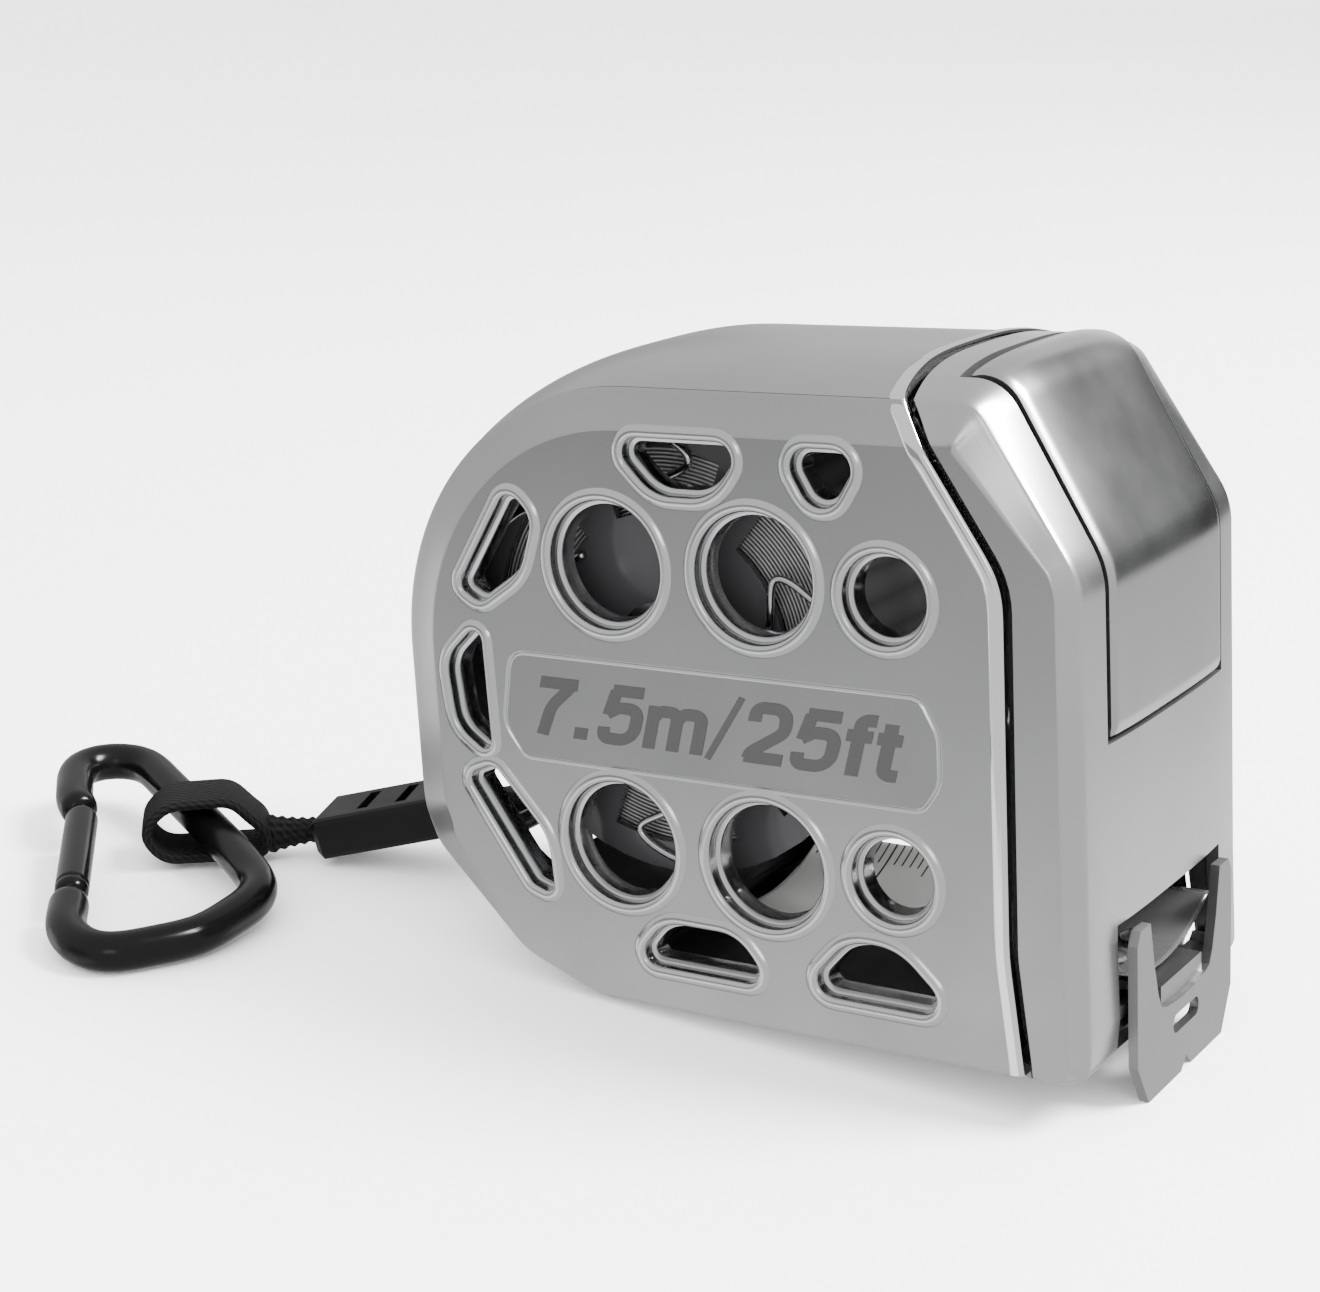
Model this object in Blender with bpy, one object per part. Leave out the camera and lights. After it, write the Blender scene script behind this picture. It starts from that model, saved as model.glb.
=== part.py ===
"""Pocket tape measure with a locking button, a vented case and a tether with a snap hook.

The case is drawn level in its own frame (x towards the mouth, y across, z up, millimetres),
then leant back by REST_PITCH so that it stands on its end hook and its rear heel.
The tether is drawn directly in the world frame, where it lies on the ground.
Every coordinate is multiplied by MM as a mesh is made, so the objects are in metres.
"""
import math

import bmesh
import bpy
import numpy as np
from mathutils import Matrix, Vector

MM = 0.001

# Case, level frame
HALF_WIDTH = 21.0            # flat side faces
CREASE = 19.2                # where the wrap-round wall ends and the bevel band starts
HEIGHT = 66.5                # height of the crease above the base
CROWN = 2.6                  # how far the top swells between the creases
WALL = 1.8
GAP = 0.3                    # air between neighbouring pieces
BEVEL_TOP = 4.2              # bevel band seen from the side: top and rear, front, bottom
BEVEL_FRONT = 1.7
BEVEL_BOTTOM = 1.1
ARC_CENTRE = (-10.5, 37.0)
ARC_RADIUS = 29.5
SEAM = ((21.0, HEIGHT, 0.0), (31.7, 49.8, 9.0), (31.7, 13.0, 20.0), (33.2, 0.0, 0.0))
SEAM_GAP = 1.0
FRONT = ((28.3, HEIGHT, 1.2), (38.6, 50.6, 8.0), (39.0, 12.0, 20.0), (39.3, 0.0, 2.4))

# Vents in each side cover: corners (x, z, corner radius), clockwise or not
ROUND_VENTS = ((-12.8, 48.3, 6.7), (4.8, 48.3, 6.7), (19.3, 47.4, 4.5),
               (-12.8, 18.4, 6.7), (4.8, 18.4, 6.7), (19.3, 19.0, 4.5))
SLOTS = (
    ((-31.9, 44.6, 1.2), (-24.6, 55.8, 1.6), (-21.6, 52.6, 2.5), (-23.6, 46.6, 6.0), (-29.0, 43.0, 1.6)),
    ((-12.0, 61.7, 1.9), (4.6, 61.7, 1.9), (0.4, 56.0, 5.0), (-6.5, 56.0, 5.0)),
    ((8.2, 61.6, 1.9), (17.6, 61.6, 1.9), (12.7, 53.6, 2.4)),
    ((-29.3, 41.0, 1.0), (-34.2, 36.4, 4.0), (-33.4, 29.0, 4.0), (-28.9, 25.9, 1.0)),
    ((-32.6, 23.6, 1.2), (-28.8, 25.1, 1.4), (-22.2, 17.8, 6.0), (-21.8, 11.2, 1.4), (-24.8, 12.2, 1.2)),
    ((-12.2, 5.2, 1.7), (5.0, 5.2, 1.7), (1.0, 10.3, 4.5), (-8.0, 10.3, 4.5)),
    ((8.2, 5.4, 1.7), (26.3, 5.4, 1.7), (19.6, 11.8, 6.0), (14.0, 11.8, 5.0)),
)
LIP_WIDTH = 1.3
LIP_HEIGHT = 0.5
LABEL = ((-25.6, 38.1, 2.0), (22.8, 38.1, 1.5), (24.8, 34.4, 3.0), (24.8, 29.5, 3.0),
         (22.8, 26.6, 1.5), (-24.6, 26.6, 1.5), (-27.0, 30.0, 3.0))

# Front housing
MOUTH_HALF = 14.0
MOUTH_TOP = 14.9
BUTTON_HALF = 14.3
BUTTON_FOOT = 34.0
BUTTON_PROUD = 0.35
BUTTON_REAR = 23.6
BUTTON_PIVOT = (27.2, 62.2)

# Reel and blade
REEL_CENTRE = (-10.5, 38.0)
ARBOR_RADIUS = 3.0
HUB_RADIUS = 12.6
COIL_RADIUS = 24.0
FLANGE_RADIUS = 24.6
BLADE_HALF = 12.5
BLADE_LOW = 6.2
BLADE_CUP = 3.3
BLADE_THICK = 0.3
BLADE_END = 38.9
HOOK_FACE = (40.35, 41.35)
POSTS = ((20.8, 57.6), (-16.5, 5.2), (27.6, 24.0))

# Lean of the standing case, and where its level frame sits in the world
REST_PITCH = math.radians(4.6)
HEEL = -19.0                 # x of the rear heel that touches the ground
CASE_SHIFT = 1.96
HOOK_DEPTH = (HOOK_FACE[1] - HEEL) * math.tan(REST_PITCH)

# Tether, world frame
ANCHOR = (-33.5, 14.7)       # level frame x, z of the anchor pin
BLOCK_NEAR = (-49.39, 2.4, 8.4)
BLOCK_FAR = (-66.89, -4.2, 3.2)
KNOT = (-71.89, -9.0, 2.9)
SNAP_NEAR = (-60.89, -40.0, 2.35)
SNAP_HEADING = math.radians(140.5)
SNAP_LIFT = 0.08
SNAP_TUBE = 2.3
STRAP_WIDTH = 8.0
STRAP_THICK = 1.3

SILVER = (0.72, 0.73, 0.74)
STEEL = (0.62, 0.62, 0.63)
BLACK = (0.02, 0.02, 0.022)
DARK = (0.06, 0.06, 0.065)


def clear_scene():
    for obj in list(bpy.data.objects):
        bpy.data.objects.remove(obj, do_unlink=True)


def material(name, colour, metallic, roughness):
    mat = bpy.data.materials.new(name)
    mat.use_nodes = True
    shader = mat.node_tree.nodes["Principled BSDF"]
    shader.inputs["Base Color"].default_value = (*colour, 1.0)
    shader.inputs["Metallic"].default_value = metallic
    shader.inputs["Roughness"].default_value = roughness
    return mat


def rounded(corners, closed=True, steps=5):
    """Polyline through (x, z, radius) corners, with each corner turned into an arc."""
    pts = [np.array(c[:2], float) for c in corners]
    out = []
    for i, corner in enumerate(corners):
        here = pts[i]
        ends = not closed and i in (0, len(pts) - 1)
        if ends or corner[2] <= 0.0:
            out.append(here)
            continue
        back = pts[i - 1] - here
        ahead = pts[(i + 1) % len(pts)] - here
        lb = np.linalg.norm(back)
        la = np.linalg.norm(ahead)
        back = back / lb
        ahead = ahead / la
        half = 0.5 * math.acos(max(-1.0, min(1.0, float(back @ ahead))))
        reach = min(corner[2] / math.tan(half), 0.48 * lb, 0.48 * la)
        radius = reach * math.tan(half)
        centre = here + (back + ahead) / np.linalg.norm(back + ahead) * radius / math.sin(half)
        a = here + back * reach - centre
        b = here + ahead * reach - centre
        sweep = math.pi - 2.0 * half
        for k in range(steps + 1):
            t = k / steps
            out.append(centre + (a * math.sin((1 - t) * sweep) + b * math.sin(t * sweep)) / math.sin(sweep))
    return np.array(out)


def normals(path, closed=True):
    """Unit normal to the left of travel at each point of a polyline in the (x, z) plane."""
    if closed:
        tangent = np.roll(path, -1, axis=0) - np.roll(path, 1, axis=0)
    else:
        tangent = np.gradient(path, axis=0)
    tangent = tangent / np.linalg.norm(tangent, axis=1)[:, None]
    return np.stack([-tangent[:, 1], tangent[:, 0]], axis=1)


def area(path):
    x = path[:, 0]
    z = path[:, 1]
    return 0.5 * float(np.sum(x * np.roll(z, -1) - np.roll(x, -1) * z))


def grow(path, distance):
    """Closed outline moved outwards by distance."""
    sign = -1.0 if area(path) > 0.0 else 1.0
    return path + normals(path) * sign * distance


def circle(cx, cz, radius, count=24):
    t = np.linspace(0.0, 2.0 * math.pi, count, endpoint=False)
    return np.stack([cx + radius * np.cos(t), cz + radius * np.sin(t)], axis=1)


def at_y(path, y):
    """Outline in the (x, z) plane placed at height y across the case."""
    return np.stack([path[:, 0], np.full(len(path), float(y)), path[:, 1]], axis=1)


def add_object(name, bm, mat):
    bmesh.ops.recalc_face_normals(bm, faces=bm.faces)
    bmesh.ops.triangulate(bm, faces=[face for face in bm.faces if len(face.verts) > 4])
    if bm.calc_volume(signed=True) < 0.0:
        bmesh.ops.reverse_faces(bm, faces=bm.faces)
    mesh = bpy.data.meshes.new(name)
    bm.to_mesh(mesh)
    bm.free()
    mesh.materials.append(mat)
    obj = bpy.data.objects.new(name, mesh)
    bpy.context.scene.collection.objects.link(obj)
    return obj


def loft(name, rings, mat, looped=False):
    """Closed body through rings of equal count: quads between rings, a cap on each end."""
    bm = bmesh.new()
    add_rings(bm, rings, looped)
    return add_object(name, bm, mat)


def add_rings(bm, rings, looped=False):
    verts = [[bm.verts.new(Vector(p) * MM) for p in ring] for ring in rings]
    count = len(verts[0])
    pairs = list(zip(verts, verts[1:]))
    if looped:
        pairs.append((verts[-1], verts[0]))
    for low, high in pairs:
        for i in range(count):
            j = (i + 1) % count
            bm.faces.new((low[i], low[j], high[j], high[i]))
    if not looped:
        bm.faces.new(list(reversed(verts[0])))
        bm.faces.new(verts[-1])


def prism(name, outline, y0, y1, mat):
    return loft(name, [at_y(outline, y0), at_y(outline, y1)], mat)


def box(name, low, high, mat):
    outline = np.array([(low[0], low[2]), (high[0], low[2]), (high[0], high[2]), (low[0], high[2])])
    return prism(name, outline, low[1], high[1], mat)


def tube_ring(name, centre, inner, outer, y0, y1, mat, count=40):
    """Straight tube along y."""
    rings = [at_y(circle(*centre, outer, count), y0), at_y(circle(*centre, outer, count), y1),
             at_y(circle(*centre, inner, count), y1), at_y(circle(*centre, inner, count), y0)]
    return loft(name, rings, mat, looped=True)


def lathe(name, origin, axis, profile, mat, count=20):
    """Solid of revolution: profile is (distance along axis, radius), closed by caps."""
    turn = Vector((0, 0, 1)).rotation_difference(Vector(axis)).to_matrix()
    rings = []
    for along, radius in profile:
        ring = [Vector(origin) + turn @ Vector((radius * math.cos(a), radius * math.sin(a), along))
                for a in np.linspace(0.0, 2.0 * math.pi, count, endpoint=False)]
        rings.append(ring)
    return loft(name, rings, mat)


def boolean(obj, cutter, operation):
    mod = obj.modifiers.new(operation.title(), "BOOLEAN")
    mod.operation = operation
    mod.solver = "EXACT"
    mod.object = cutter
    bpy.context.view_layer.update()
    graph = bpy.context.evaluated_depsgraph_get()
    mesh = bpy.data.meshes.new_from_object(obj.evaluated_get(graph))
    obj.modifiers.clear()
    obj.data = mesh
    bpy.data.objects.remove(cutter, do_unlink=True)


def group(name, bodies):
    """Cutter made of several separate prisms: (outline, y0, outline, y1)."""
    bm = bmesh.new()
    for first, y0, second, y1 in bodies:
        add_rings(bm, [at_y(first, y0), at_y(second, y1)])
    return add_object(name, bm, MATS["cutter"])


def swell(y):
    """Crown of the wrap-round wall: 0 at the creases, 1 at the middle."""
    return 1.0 - abs(y / CREASE) ** 3


def shell_path():
    """Outer path of the rear shell from the seam's foot round the rear to its head."""
    heel = rounded(((SEAM[-1][0], 0.0, 0.0), (-18.0, 0.0, 9.0), (-27.4, 3.6, 7.0),
                    (-38.4, 14.6, 4.5), (-40.0, 19.0, 7.0), (-40.0, 36.0, 0.0)), closed=False)
    sweep = np.linspace(math.pi, math.pi / 2.0, 15)
    arc = np.stack([ARC_CENTRE[0] + ARC_RADIUS * np.cos(sweep), ARC_CENTRE[1] + ARC_RADIUS * np.sin(sweep)], 1)
    top = np.array([(0.0, HEIGHT), (10.5, HEIGHT), SEAM[0][:2]])
    return np.vstack([heel, arc, top])


def shell_bevel(path):
    """Inward step of the rear shell's outline from the crease to the flat side face."""
    n = normals(path, closed=False)
    n[0] = (0.0, -1.0)
    n[-1] = (0.0, 1.0)
    high = np.clip((path[:, 1] - 2.0) / 14.0, 0.0, 1.0)
    depth = BEVEL_BOTTOM + (BEVEL_TOP - BEVEL_BOTTOM) * high
    step = -n * depth[:, None]
    step[-1, 0] = (SEAM[1][0] - SEAM[0][0]) / (SEAM[0][1] - SEAM[1][1]) * BEVEL_TOP
    step[0, 0] = -0.12 * BEVEL_BOTTOM
    return step


def seam_path(shift=0.0):
    """Line between rear shell and front housing, from its head down to its foot."""
    line = rounded(SEAM, closed=False, steps=6)
    inner = line[1:-1]
    moved = inner + normals(line, closed=False)[1:-1] * shift
    slope = (SEAM[1][0] - SEAM[0][0]) / (SEAM[0][1] - SEAM[1][1])
    head = line[0] + np.array([shift * math.hypot(1.0, slope), 0.0])
    foot = line[-1] + np.array([shift, 0.0])
    return np.vstack([head, moved, foot])


def side_cover(name, side):
    path = shell_path()
    bevel = shell_bevel(path)
    seam = seam_path()[1:-1]
    seam = seam[seam[:, 1] < 58.0]
    flat = np.vstack([path + bevel, seam])
    edge = np.vstack([path, seam])
    cover = loft(name, [at_y(edge, side * (CREASE + GAP)), at_y(edge, side * (CREASE + GAP + 0.25)),
                        at_y(flat, side * HALF_WIDTH)], MATS["case_metal"])
    holes = [circle(x, z, r, 22) for x, z, r in ROUND_VENTS]
    holes += [rounded(slot, steps=3) for slot in SLOTS]
    lips = [(grow(h, LIP_WIDTH), side * (HALF_WIDTH - 0.6), grow(h, 0.55), side * (HALF_WIDTH + LIP_HEIGHT))
            for h in holes]
    boolean(cover, group("lips", lips), "UNION")
    cuts = [(h, side * (CREASE - 1.0), h, side * (HALF_WIDTH + 2.0)) for h in holes]
    cuts.append((rounded(LABEL), side * (HALF_WIDTH - 0.5), rounded(LABEL), side * (HALF_WIDTH + 2.0)))
    if side > 0:
        shanks = [circle(x, z, 1.1, 16) for x, z in POSTS]
        heads = [circle(x, z, 2.2, 16) for x, z in POSTS]
        wells = [(h, CREASE - 1.0, h, HALF_WIDTH - 0.9) for h in shanks]
        boolean(cover, group("wells", wells), "DIFFERENCE")
        cuts += [(h, HALF_WIDTH - 1.0, h, HALF_WIDTH + 2.0) for h in heads]
    boolean(cover, group("vents", cuts), "DIFFERENCE")
    return cover


def label_plate(name, side):
    outline = grow(rounded(LABEL), -0.3)
    return prism(name, outline, side * (HALF_WIDTH - 0.2), side * (HALF_WIDTH + 0.05), MATS["label_metal"])


def case_band():
    path = shell_path()
    out = normals(path, closed=False)
    out[0] = (0.0, -1.0)
    out[-1] = (-0.64, 1.0)
    amount = CROWN * np.clip(path[:, 1] / 12.0, 0.0, 1.0)
    inner = path - out * WALL
    inner[0] = (SEAM[-1][0], WALL)
    inner[-1] = (SEAM[0][0] + 0.64 * WALL, HEIGHT - WALL)
    rings = []
    for y in (-CREASE, -18.0, -16.0, -12.0, -6.0, 0.0, 6.0, 12.0, 16.0, 18.0, CREASE):
        outer = path + out * (amount * swell(y))[:, None]
        rings.append(at_y(np.vstack([outer, inner[::-1]]), y))
    band = loft("case_band", rings, MATS["case_metal"])
    boolean(band, box("slot", (-50.0, -6.5, 7.0), (-30.0, 6.5, 19.0), MATS["cutter"]), "DIFFERENCE")
    return band


def housing_ring(y):
    """Outline of the front housing at y: seam side up, top, slanted front, front, underside."""
    line = seam_path(SEAM_GAP)[::-1]
    front = rounded(FRONT, closed=False, steps=6)
    out = normals(front, closed=False)
    out[0] = (0.45, 1.0)
    out[-1] = (0.6, -0.6)
    if abs(y) > CREASE + 0.01:
        depth = BEVEL_FRONT + (BEVEL_TOP - BEVEL_FRONT) * np.clip((front[:, 1] - 52.0) / 14.5, 0.0, 1.0)
        front = front - out * depth[:, None]
        line = line.copy()
        line[0, 1] += BEVEL_BOTTOM
        line[-1] += np.array([0.64, -1.0]) * BEVEL_TOP
        line = np.vstack([line[0], line[1:-1][line[1:-1, 1] < 58.0], line[-1]])
    else:
        rise = 1.0 + (CROWN - 1.0) * np.clip((front[:, 1] - 52.0) / 14.5, 0.0, 1.0)
        rise = rise * np.clip(front[:, 1] / 5.0, 0.0, 1.0)
        front = front + out * (rise * swell(y))[:, None]
        line = line.copy()
        line[-1] += np.array([-0.64, 1.0]) * CROWN * swell(y)
        line = np.vstack([line[0], line[1:-1][line[1:-1, 1] < 58.0], line[-1]])
    return at_y(np.vstack([line, front]), y)


def front_housing():
    stations = (-HALF_WIDTH, -CREASE, -17.5, -15.0, -10.0, -5.0, 0.0, 5.0, 10.0, 15.0, 17.5, CREASE, HALF_WIDTH)
    housing = loft("front_housing", [housing_ring(y) for y in stations], MATS["case_metal"])
    front = rounded(FRONT, closed=False, steps=6)
    inner = front - normals(front, closed=False) * WALL
    inner[0] = (FRONT[0][0] - 0.8, HEIGHT - WALL)
    inner[-1] = (FRONT[-1][0] - WALL, WALL)
    back = np.array([(20.0, WALL), (10.0, 30.0), (10.0, HEIGHT - WALL)])
    side = CREASE - 0.6
    boolean(housing, prism("hollow", np.vstack([inner, back]), -side, side, MATS["cutter"]), "DIFFERENCE")
    mouth = np.array([(34.0, WALL + 0.2), (45.0, WALL + 0.2), (45.0, MOUTH_TOP), (34.0, MOUTH_TOP)])
    window = np.array([(34.5, BUTTON_FOOT - 0.5), (45.0, BUTTON_FOOT - 0.5), (45.0, 75.0),
                       (BUTTON_REAR - 0.3, 75.0), (BUTTON_REAR - 0.3, 60.0), (30.0, 52.0)])
    half = BUTTON_HALF + 0.3
    cuts = [(mouth, -MOUTH_HALF, mouth, MOUTH_HALF), (window, -half, window, half)]
    boolean(housing, group("openings", cuts), "DIFFERENCE")
    return housing


def button_path(y, lift):
    """Button's outer line at y, from its foot up the front, over the slant and onto the top."""
    front = rounded(FRONT, closed=False, steps=6)
    out = normals(front, closed=False)
    out[0] = (0.45, 1.0)
    rise = 1.0 + (CROWN - 1.0) * np.clip((front[:, 1] - 52.0) / 14.5, 0.0, 1.0)
    moved = front + out * (rise * swell(y) + lift)[:, None]
    moved = moved[front[:, 1] > BUTTON_FOOT + 2.0]
    foot = np.array([(38.8 + swell(y) + lift, BUTTON_FOOT)])
    rear = np.array([(BUTTON_REAR, HEIGHT + CROWN * swell(y) + lift)])
    return np.vstack([rear, moved, foot])


def lock_button():
    rings = []
    for y in (-BUTTON_HALF, -BUTTON_HALF + 0.6, -10.0, -5.0, 0.0, 5.0, 10.0, BUTTON_HALF - 0.6, BUTTON_HALF):
        lift = BUTTON_PROUD if abs(y) < BUTTON_HALF else -0.1
        outer = button_path(y, lift)
        inner = button_path(BUTTON_HALF, -WALL)[::-1].copy()
        inner[-1, 0] += 0.001
        rings.append(at_y(np.vstack([outer, inner]), y))
    button = loft("lock_button", rings, MATS["button_metal"])
    px, pz = BUTTON_PIVOT
    boolean(button, box("lug", (px - 1.8, -6.0, pz - 1.9), (px + 1.8, 6.0, HEIGHT + 0.8), MATS["cutter"]), "UNION")
    boolean(button, prism("eye", circle(px, pz, ARBOR_RADIUS / 3.0 + 0.08, 20), -7.0, 7.0, MATS["cutter"]),
            "DIFFERENCE")
    arm = np.array([(33.4, BLADE_LOW + 2.0), (35.6, BLADE_LOW + 2.0), (36.2, 34.6), (38.2, 36.0),
                    (38.2, 39.0), (34.2, 38.0)])
    boolean(button, prism("arm", arm, -4.0, 4.0, MATS["cutter"]), "UNION")
    return button


def seam_liner():
    """Dark frame behind the seam: a rounded rectangle of strip that follows the seam line."""
    line = rounded(SEAM, closed=False, steps=6)
    frame = rounded(((-18.3, 3.0, 2.0), (18.3, 3.0, 2.0), (18.3, 63.6, 2.0), (-18.3, 63.6, 2.0)), steps=4)
    extra = []
    for a, b in zip(frame, np.roll(frame, -1, axis=0)):
        parts = max(1, int(np.linalg.norm(b - a) // 8.0))
        extra += [a + (b - a) * k / parts for k in range(parts)]
    frame = np.array(extra)
    inward = grow(frame, -0.9)
    height = line[::-1, 1]
    reach = line[::-1, 0]
    rings = []
    for near, far in zip(frame, inward):
        ring = []
        for point, dx in ((near, -1.0), (near, 1.8), (far, 1.8), (far, -1.0)):
            ring.append((float(np.interp(point[1], height, reach)) + dx, point[0], point[1]))
        rings.append(ring)
    return loft("seam_liner", rings, MATS["dark_plastic"], looped=True)


def reel_flange(name, side):
    flange = tube_ring(name, REEL_CENTRE, ARBOR_RADIUS + 0.08, FLANGE_RADIUS,
                       side * 13.2, side * 14.0, MATS["reel_plastic"], 48)
    windows = []
    for k in range(6):
        a0 = math.radians(60.0 * k + 9.0)
        a1 = math.radians(60.0 * k + 51.0)
        sweep = np.linspace(a0, a1, 6)
        outer = [(REEL_CENTRE[0] + 21.5 * math.cos(a), REEL_CENTRE[1] + 21.5 * math.sin(a)) for a in sweep]
        inner = [(REEL_CENTRE[0] + 14.5 * math.cos(a), REEL_CENTRE[1] + 14.5 * math.sin(a)) for a in sweep[::-1]]
        hole = rounded([(*p, 0.0) for p in outer + inner])
        windows.append((hole, side * 10.0, hole, side * 17.0))
    boolean(flange, group("windows", windows), "DIFFERENCE")
    return flange


def reel_parts():
    return [
        reel_flange("reel_flange_left", -1.0),
        reel_flange("reel_flange_right", 1.0),
        tube_ring("reel_hub", REEL_CENTRE, HUB_RADIUS - 1.3, HUB_RADIUS, -12.9, 12.9, MATS["reel_plastic"]),
        tube_ring("blade_coil", REEL_CENTRE, HUB_RADIUS + 0.2, COIL_RADIUS, -BLADE_HALF, BLADE_HALF,
                  MATS["blade_paint"], 48),
        tube_ring("power_spring", REEL_CENTRE, ARBOR_RADIUS + 0.4, HUB_RADIUS - 1.7, -10.0, 10.0,
                  MATS["spring_steel"], 32),
    ]


def blade_section(half, low, thick, cup=BLADE_CUP, count=11):
    """Cupped cross-section across y, closed round its thickness: (y, z) points."""
    y = np.linspace(-half, half, count)
    z = low + cup * (y / BLADE_HALF) ** 2
    return np.vstack([np.stack([y, z + thick], 1), np.stack([y, z], 1)[::-1]])


def blade_strip():
    section = blade_section(BLADE_HALF, BLADE_LOW, BLADE_THICK)
    rings = [[(x, y, z) for y, z in section] for x in (-8.0, 8.0, 22.0, 32.0, 36.0, BLADE_END)]
    blade = loft("blade_strip", rings, MATS["blade_paint"])
    for y in (-3.2, 3.2):
        hole = lathe("hole", (34.6, y, BLADE_LOW - 2.0), (0, 0, 1), ((0.0, 1.0), (5.0, 1.0)), MATS["cutter"], 12)
        boolean(blade, hole, "DIFFERENCE")
    return blade


def rivet(name, y):
    low = BLADE_LOW - 2.2
    profile = ((0.0, 0.9), (0.25, 1.6), (0.7, 1.7), (0.72, 0.85), (3.2, 0.85), (3.22, 1.7), (3.6, 1.6), (3.9, 0.8))
    return lathe(name, (34.6, y, low), (0, 0, 1), profile, MATS["spring_steel"], 16)


def end_hook():
    """Face plate with two wings, a claw edge and a nail slot, and a tongue under the blade."""
    left = ((12.5, -0.2), (12.5, 12.6), (11.7, 14.0), (9.2, 14.0), (8.2, 9.0), (7.2, 5.6))
    arc = [(6.6 * math.cos(a), 4.4 - 1.1 * math.sin(a)) for a in np.linspace(0.25, math.pi - 0.25, 7)]
    right = [(-y, z) for y, z in reversed(left)]
    foot = ((-9.8, -HOOK_DEPTH), (-1.3, -HOOK_DEPTH), (0.0, -HOOK_DEPTH + 1.4), (1.3, -HOOK_DEPTH),
            (9.8, -HOOK_DEPTH))
    outline = list(left) + arc + right + list(foot)
    rings = [[(x, y, z) for y, z in outline] for x in HOOK_FACE]
    hook = loft("end_hook", rings, MATS["hook_steel"])
    boolean(hook, box("tongue", (31.4, -5.4, BLADE_LOW - 1.3), (HOOK_FACE[0] + 0.5, 5.4, BLADE_LOW - 0.4),
                      MATS["cutter"]), "UNION")
    bend = np.array([(39.0, BLADE_LOW - 1.3), (HOOK_FACE[0] + 0.5, BLADE_LOW - 3.4), (HOOK_FACE[0] + 0.5, 5.5)])
    boolean(hook, prism("bend", bend, -5.4, 5.4, MATS["cutter"]), "UNION")
    for y in (-3.2, 3.2):
        hole = [(34.6 + dx + 1.05 * math.cos(a), y + 1.05 * math.sin(a), 0.0)
                for dx, a in [(-1.0, t) for t in np.linspace(math.pi / 2, 1.5 * math.pi, 6)]
                + [(0.15, t) for t in np.linspace(-math.pi / 2, math.pi / 2, 6)]]
        slot = loft("slot", [[(px, py, 2.0) for px, py, pz in hole], [(px, py, 8.0) for px, py, pz in hole]],
                    MATS["cutter"])
        boolean(hook, slot, "DIFFERENCE")
    nail = rounded(((-3.4, -0.1, 0.9), (3.4, -0.1, 0.9), (3.4, 1.9, 0.9), (-3.4, 1.9, 0.9)), steps=4)
    cut = loft("nail", [[(x, y, z) for y, z in nail] for x in (38.0, 43.0)], MATS["cutter"])
    boolean(hook, cut, "DIFFERENCE")
    return hook


def fixed_parts():
    dark = MATS["dark_plastic"]
    cx, cz = REEL_CENTRE
    parts = [
        side_cover("cover_left", -1.0),
        side_cover("cover_right", 1.0),
        label_plate("label_left", -1.0),
        label_plate("label_right", 1.0),
        case_band(),
        front_housing(),
        seam_liner(),
        lathe("reel_arbor", (cx, -CREASE, cz), (0, 1, 0), ((0.0, ARBOR_RADIUS), (2 * CREASE, ARBOR_RADIUS)),
              MATS["spring_steel"], 24),
        tube_ring("arbor_clip_left", REEL_CENTRE, ARBOR_RADIUS + 0.1, 5.2, -15.1, -14.3, MATS["spring_steel"], 24),
        tube_ring("arbor_clip_right", REEL_CENTRE, ARBOR_RADIUS + 0.1, 5.2, 14.3, 15.1, MATS["spring_steel"], 24),
        box("blade_guide", (0.0, -13.0, 2.2), (29.4, 13.0, 3.6), dark),
        box("mouth_bumper", (35.3, -12.0, WALL + 0.3), (37.1, 12.0, 3.4), MATS["rubber"]),
        lathe("button_pin", (BUTTON_PIVOT[0], -18.2, BUTTON_PIVOT[1]), (0, 1, 0),
              ((0.0, 1.0), (36.4, 1.0)), MATS["spring_steel"], 16),
        lathe("tether_pin", (ANCHOR[0], -CREASE, ANCHOR[1]), (0, 1, 0), ((0.0, 1.1), (2 * CREASE, 1.1)),
              MATS["spring_steel"], 16),
    ]
    for k, (x, z) in enumerate(POSTS):
        post = lathe("case_post_%d" % (k + 1), (x, -CREASE, z), (0, 1, 0), ((0.0, 2.4), (2 * CREASE, 2.4)),
                     dark, 16)
        bore = prism("bore", circle(x, z, 1.0, 12), 13.6, CREASE + 1.0, MATS["cutter"])
        boolean(post, bore, "DIFFERENCE")
        parts.append(post)
        parts.append(case_screw("case_screw_%d" % (k + 1), x, z))
    return parts


def case_screw(name, x, z):
    profile = ((0.0, 0.5), (0.8, 0.9), (5.9, 0.9), (5.95, 1.9), (6.6, 1.9), (6.9, 1.6))
    screw = lathe(name, (x, 14.2, z), (0, 1, 0), profile, MATS["spring_steel"], 16)
    for turn in (0.0, math.pi / 2.0):
        c = math.cos(turn)
        s = math.sin(turn)
        bar = np.array([(x + c * a - s * b, z + s * a + c * b)
                        for a, b in ((-1.1, -0.22), (1.1, -0.22), (1.1, 0.22), (-1.1, 0.22))])
        boolean(screw, prism("cross", bar, 20.6, 22.0, MATS["cutter"]), "DIFFERENCE")
    return screw


def lean():
    """Level case frame to world."""
    turn = Matrix.Rotation(-REST_PITCH, 4, "Y")
    lift = -HEEL * math.sin(REST_PITCH)
    return Matrix.Translation(Vector((CASE_SHIFT, 0.0, lift)) * MM) @ turn


def frame_at(start, end):
    """Unit direction from start to end, its level side vector and its up vector."""
    along = (Vector(end) - Vector(start)).normalized()
    side = Vector((0, 0, 1)).cross(along).normalized()
    return along, side, along.cross(side)


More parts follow.
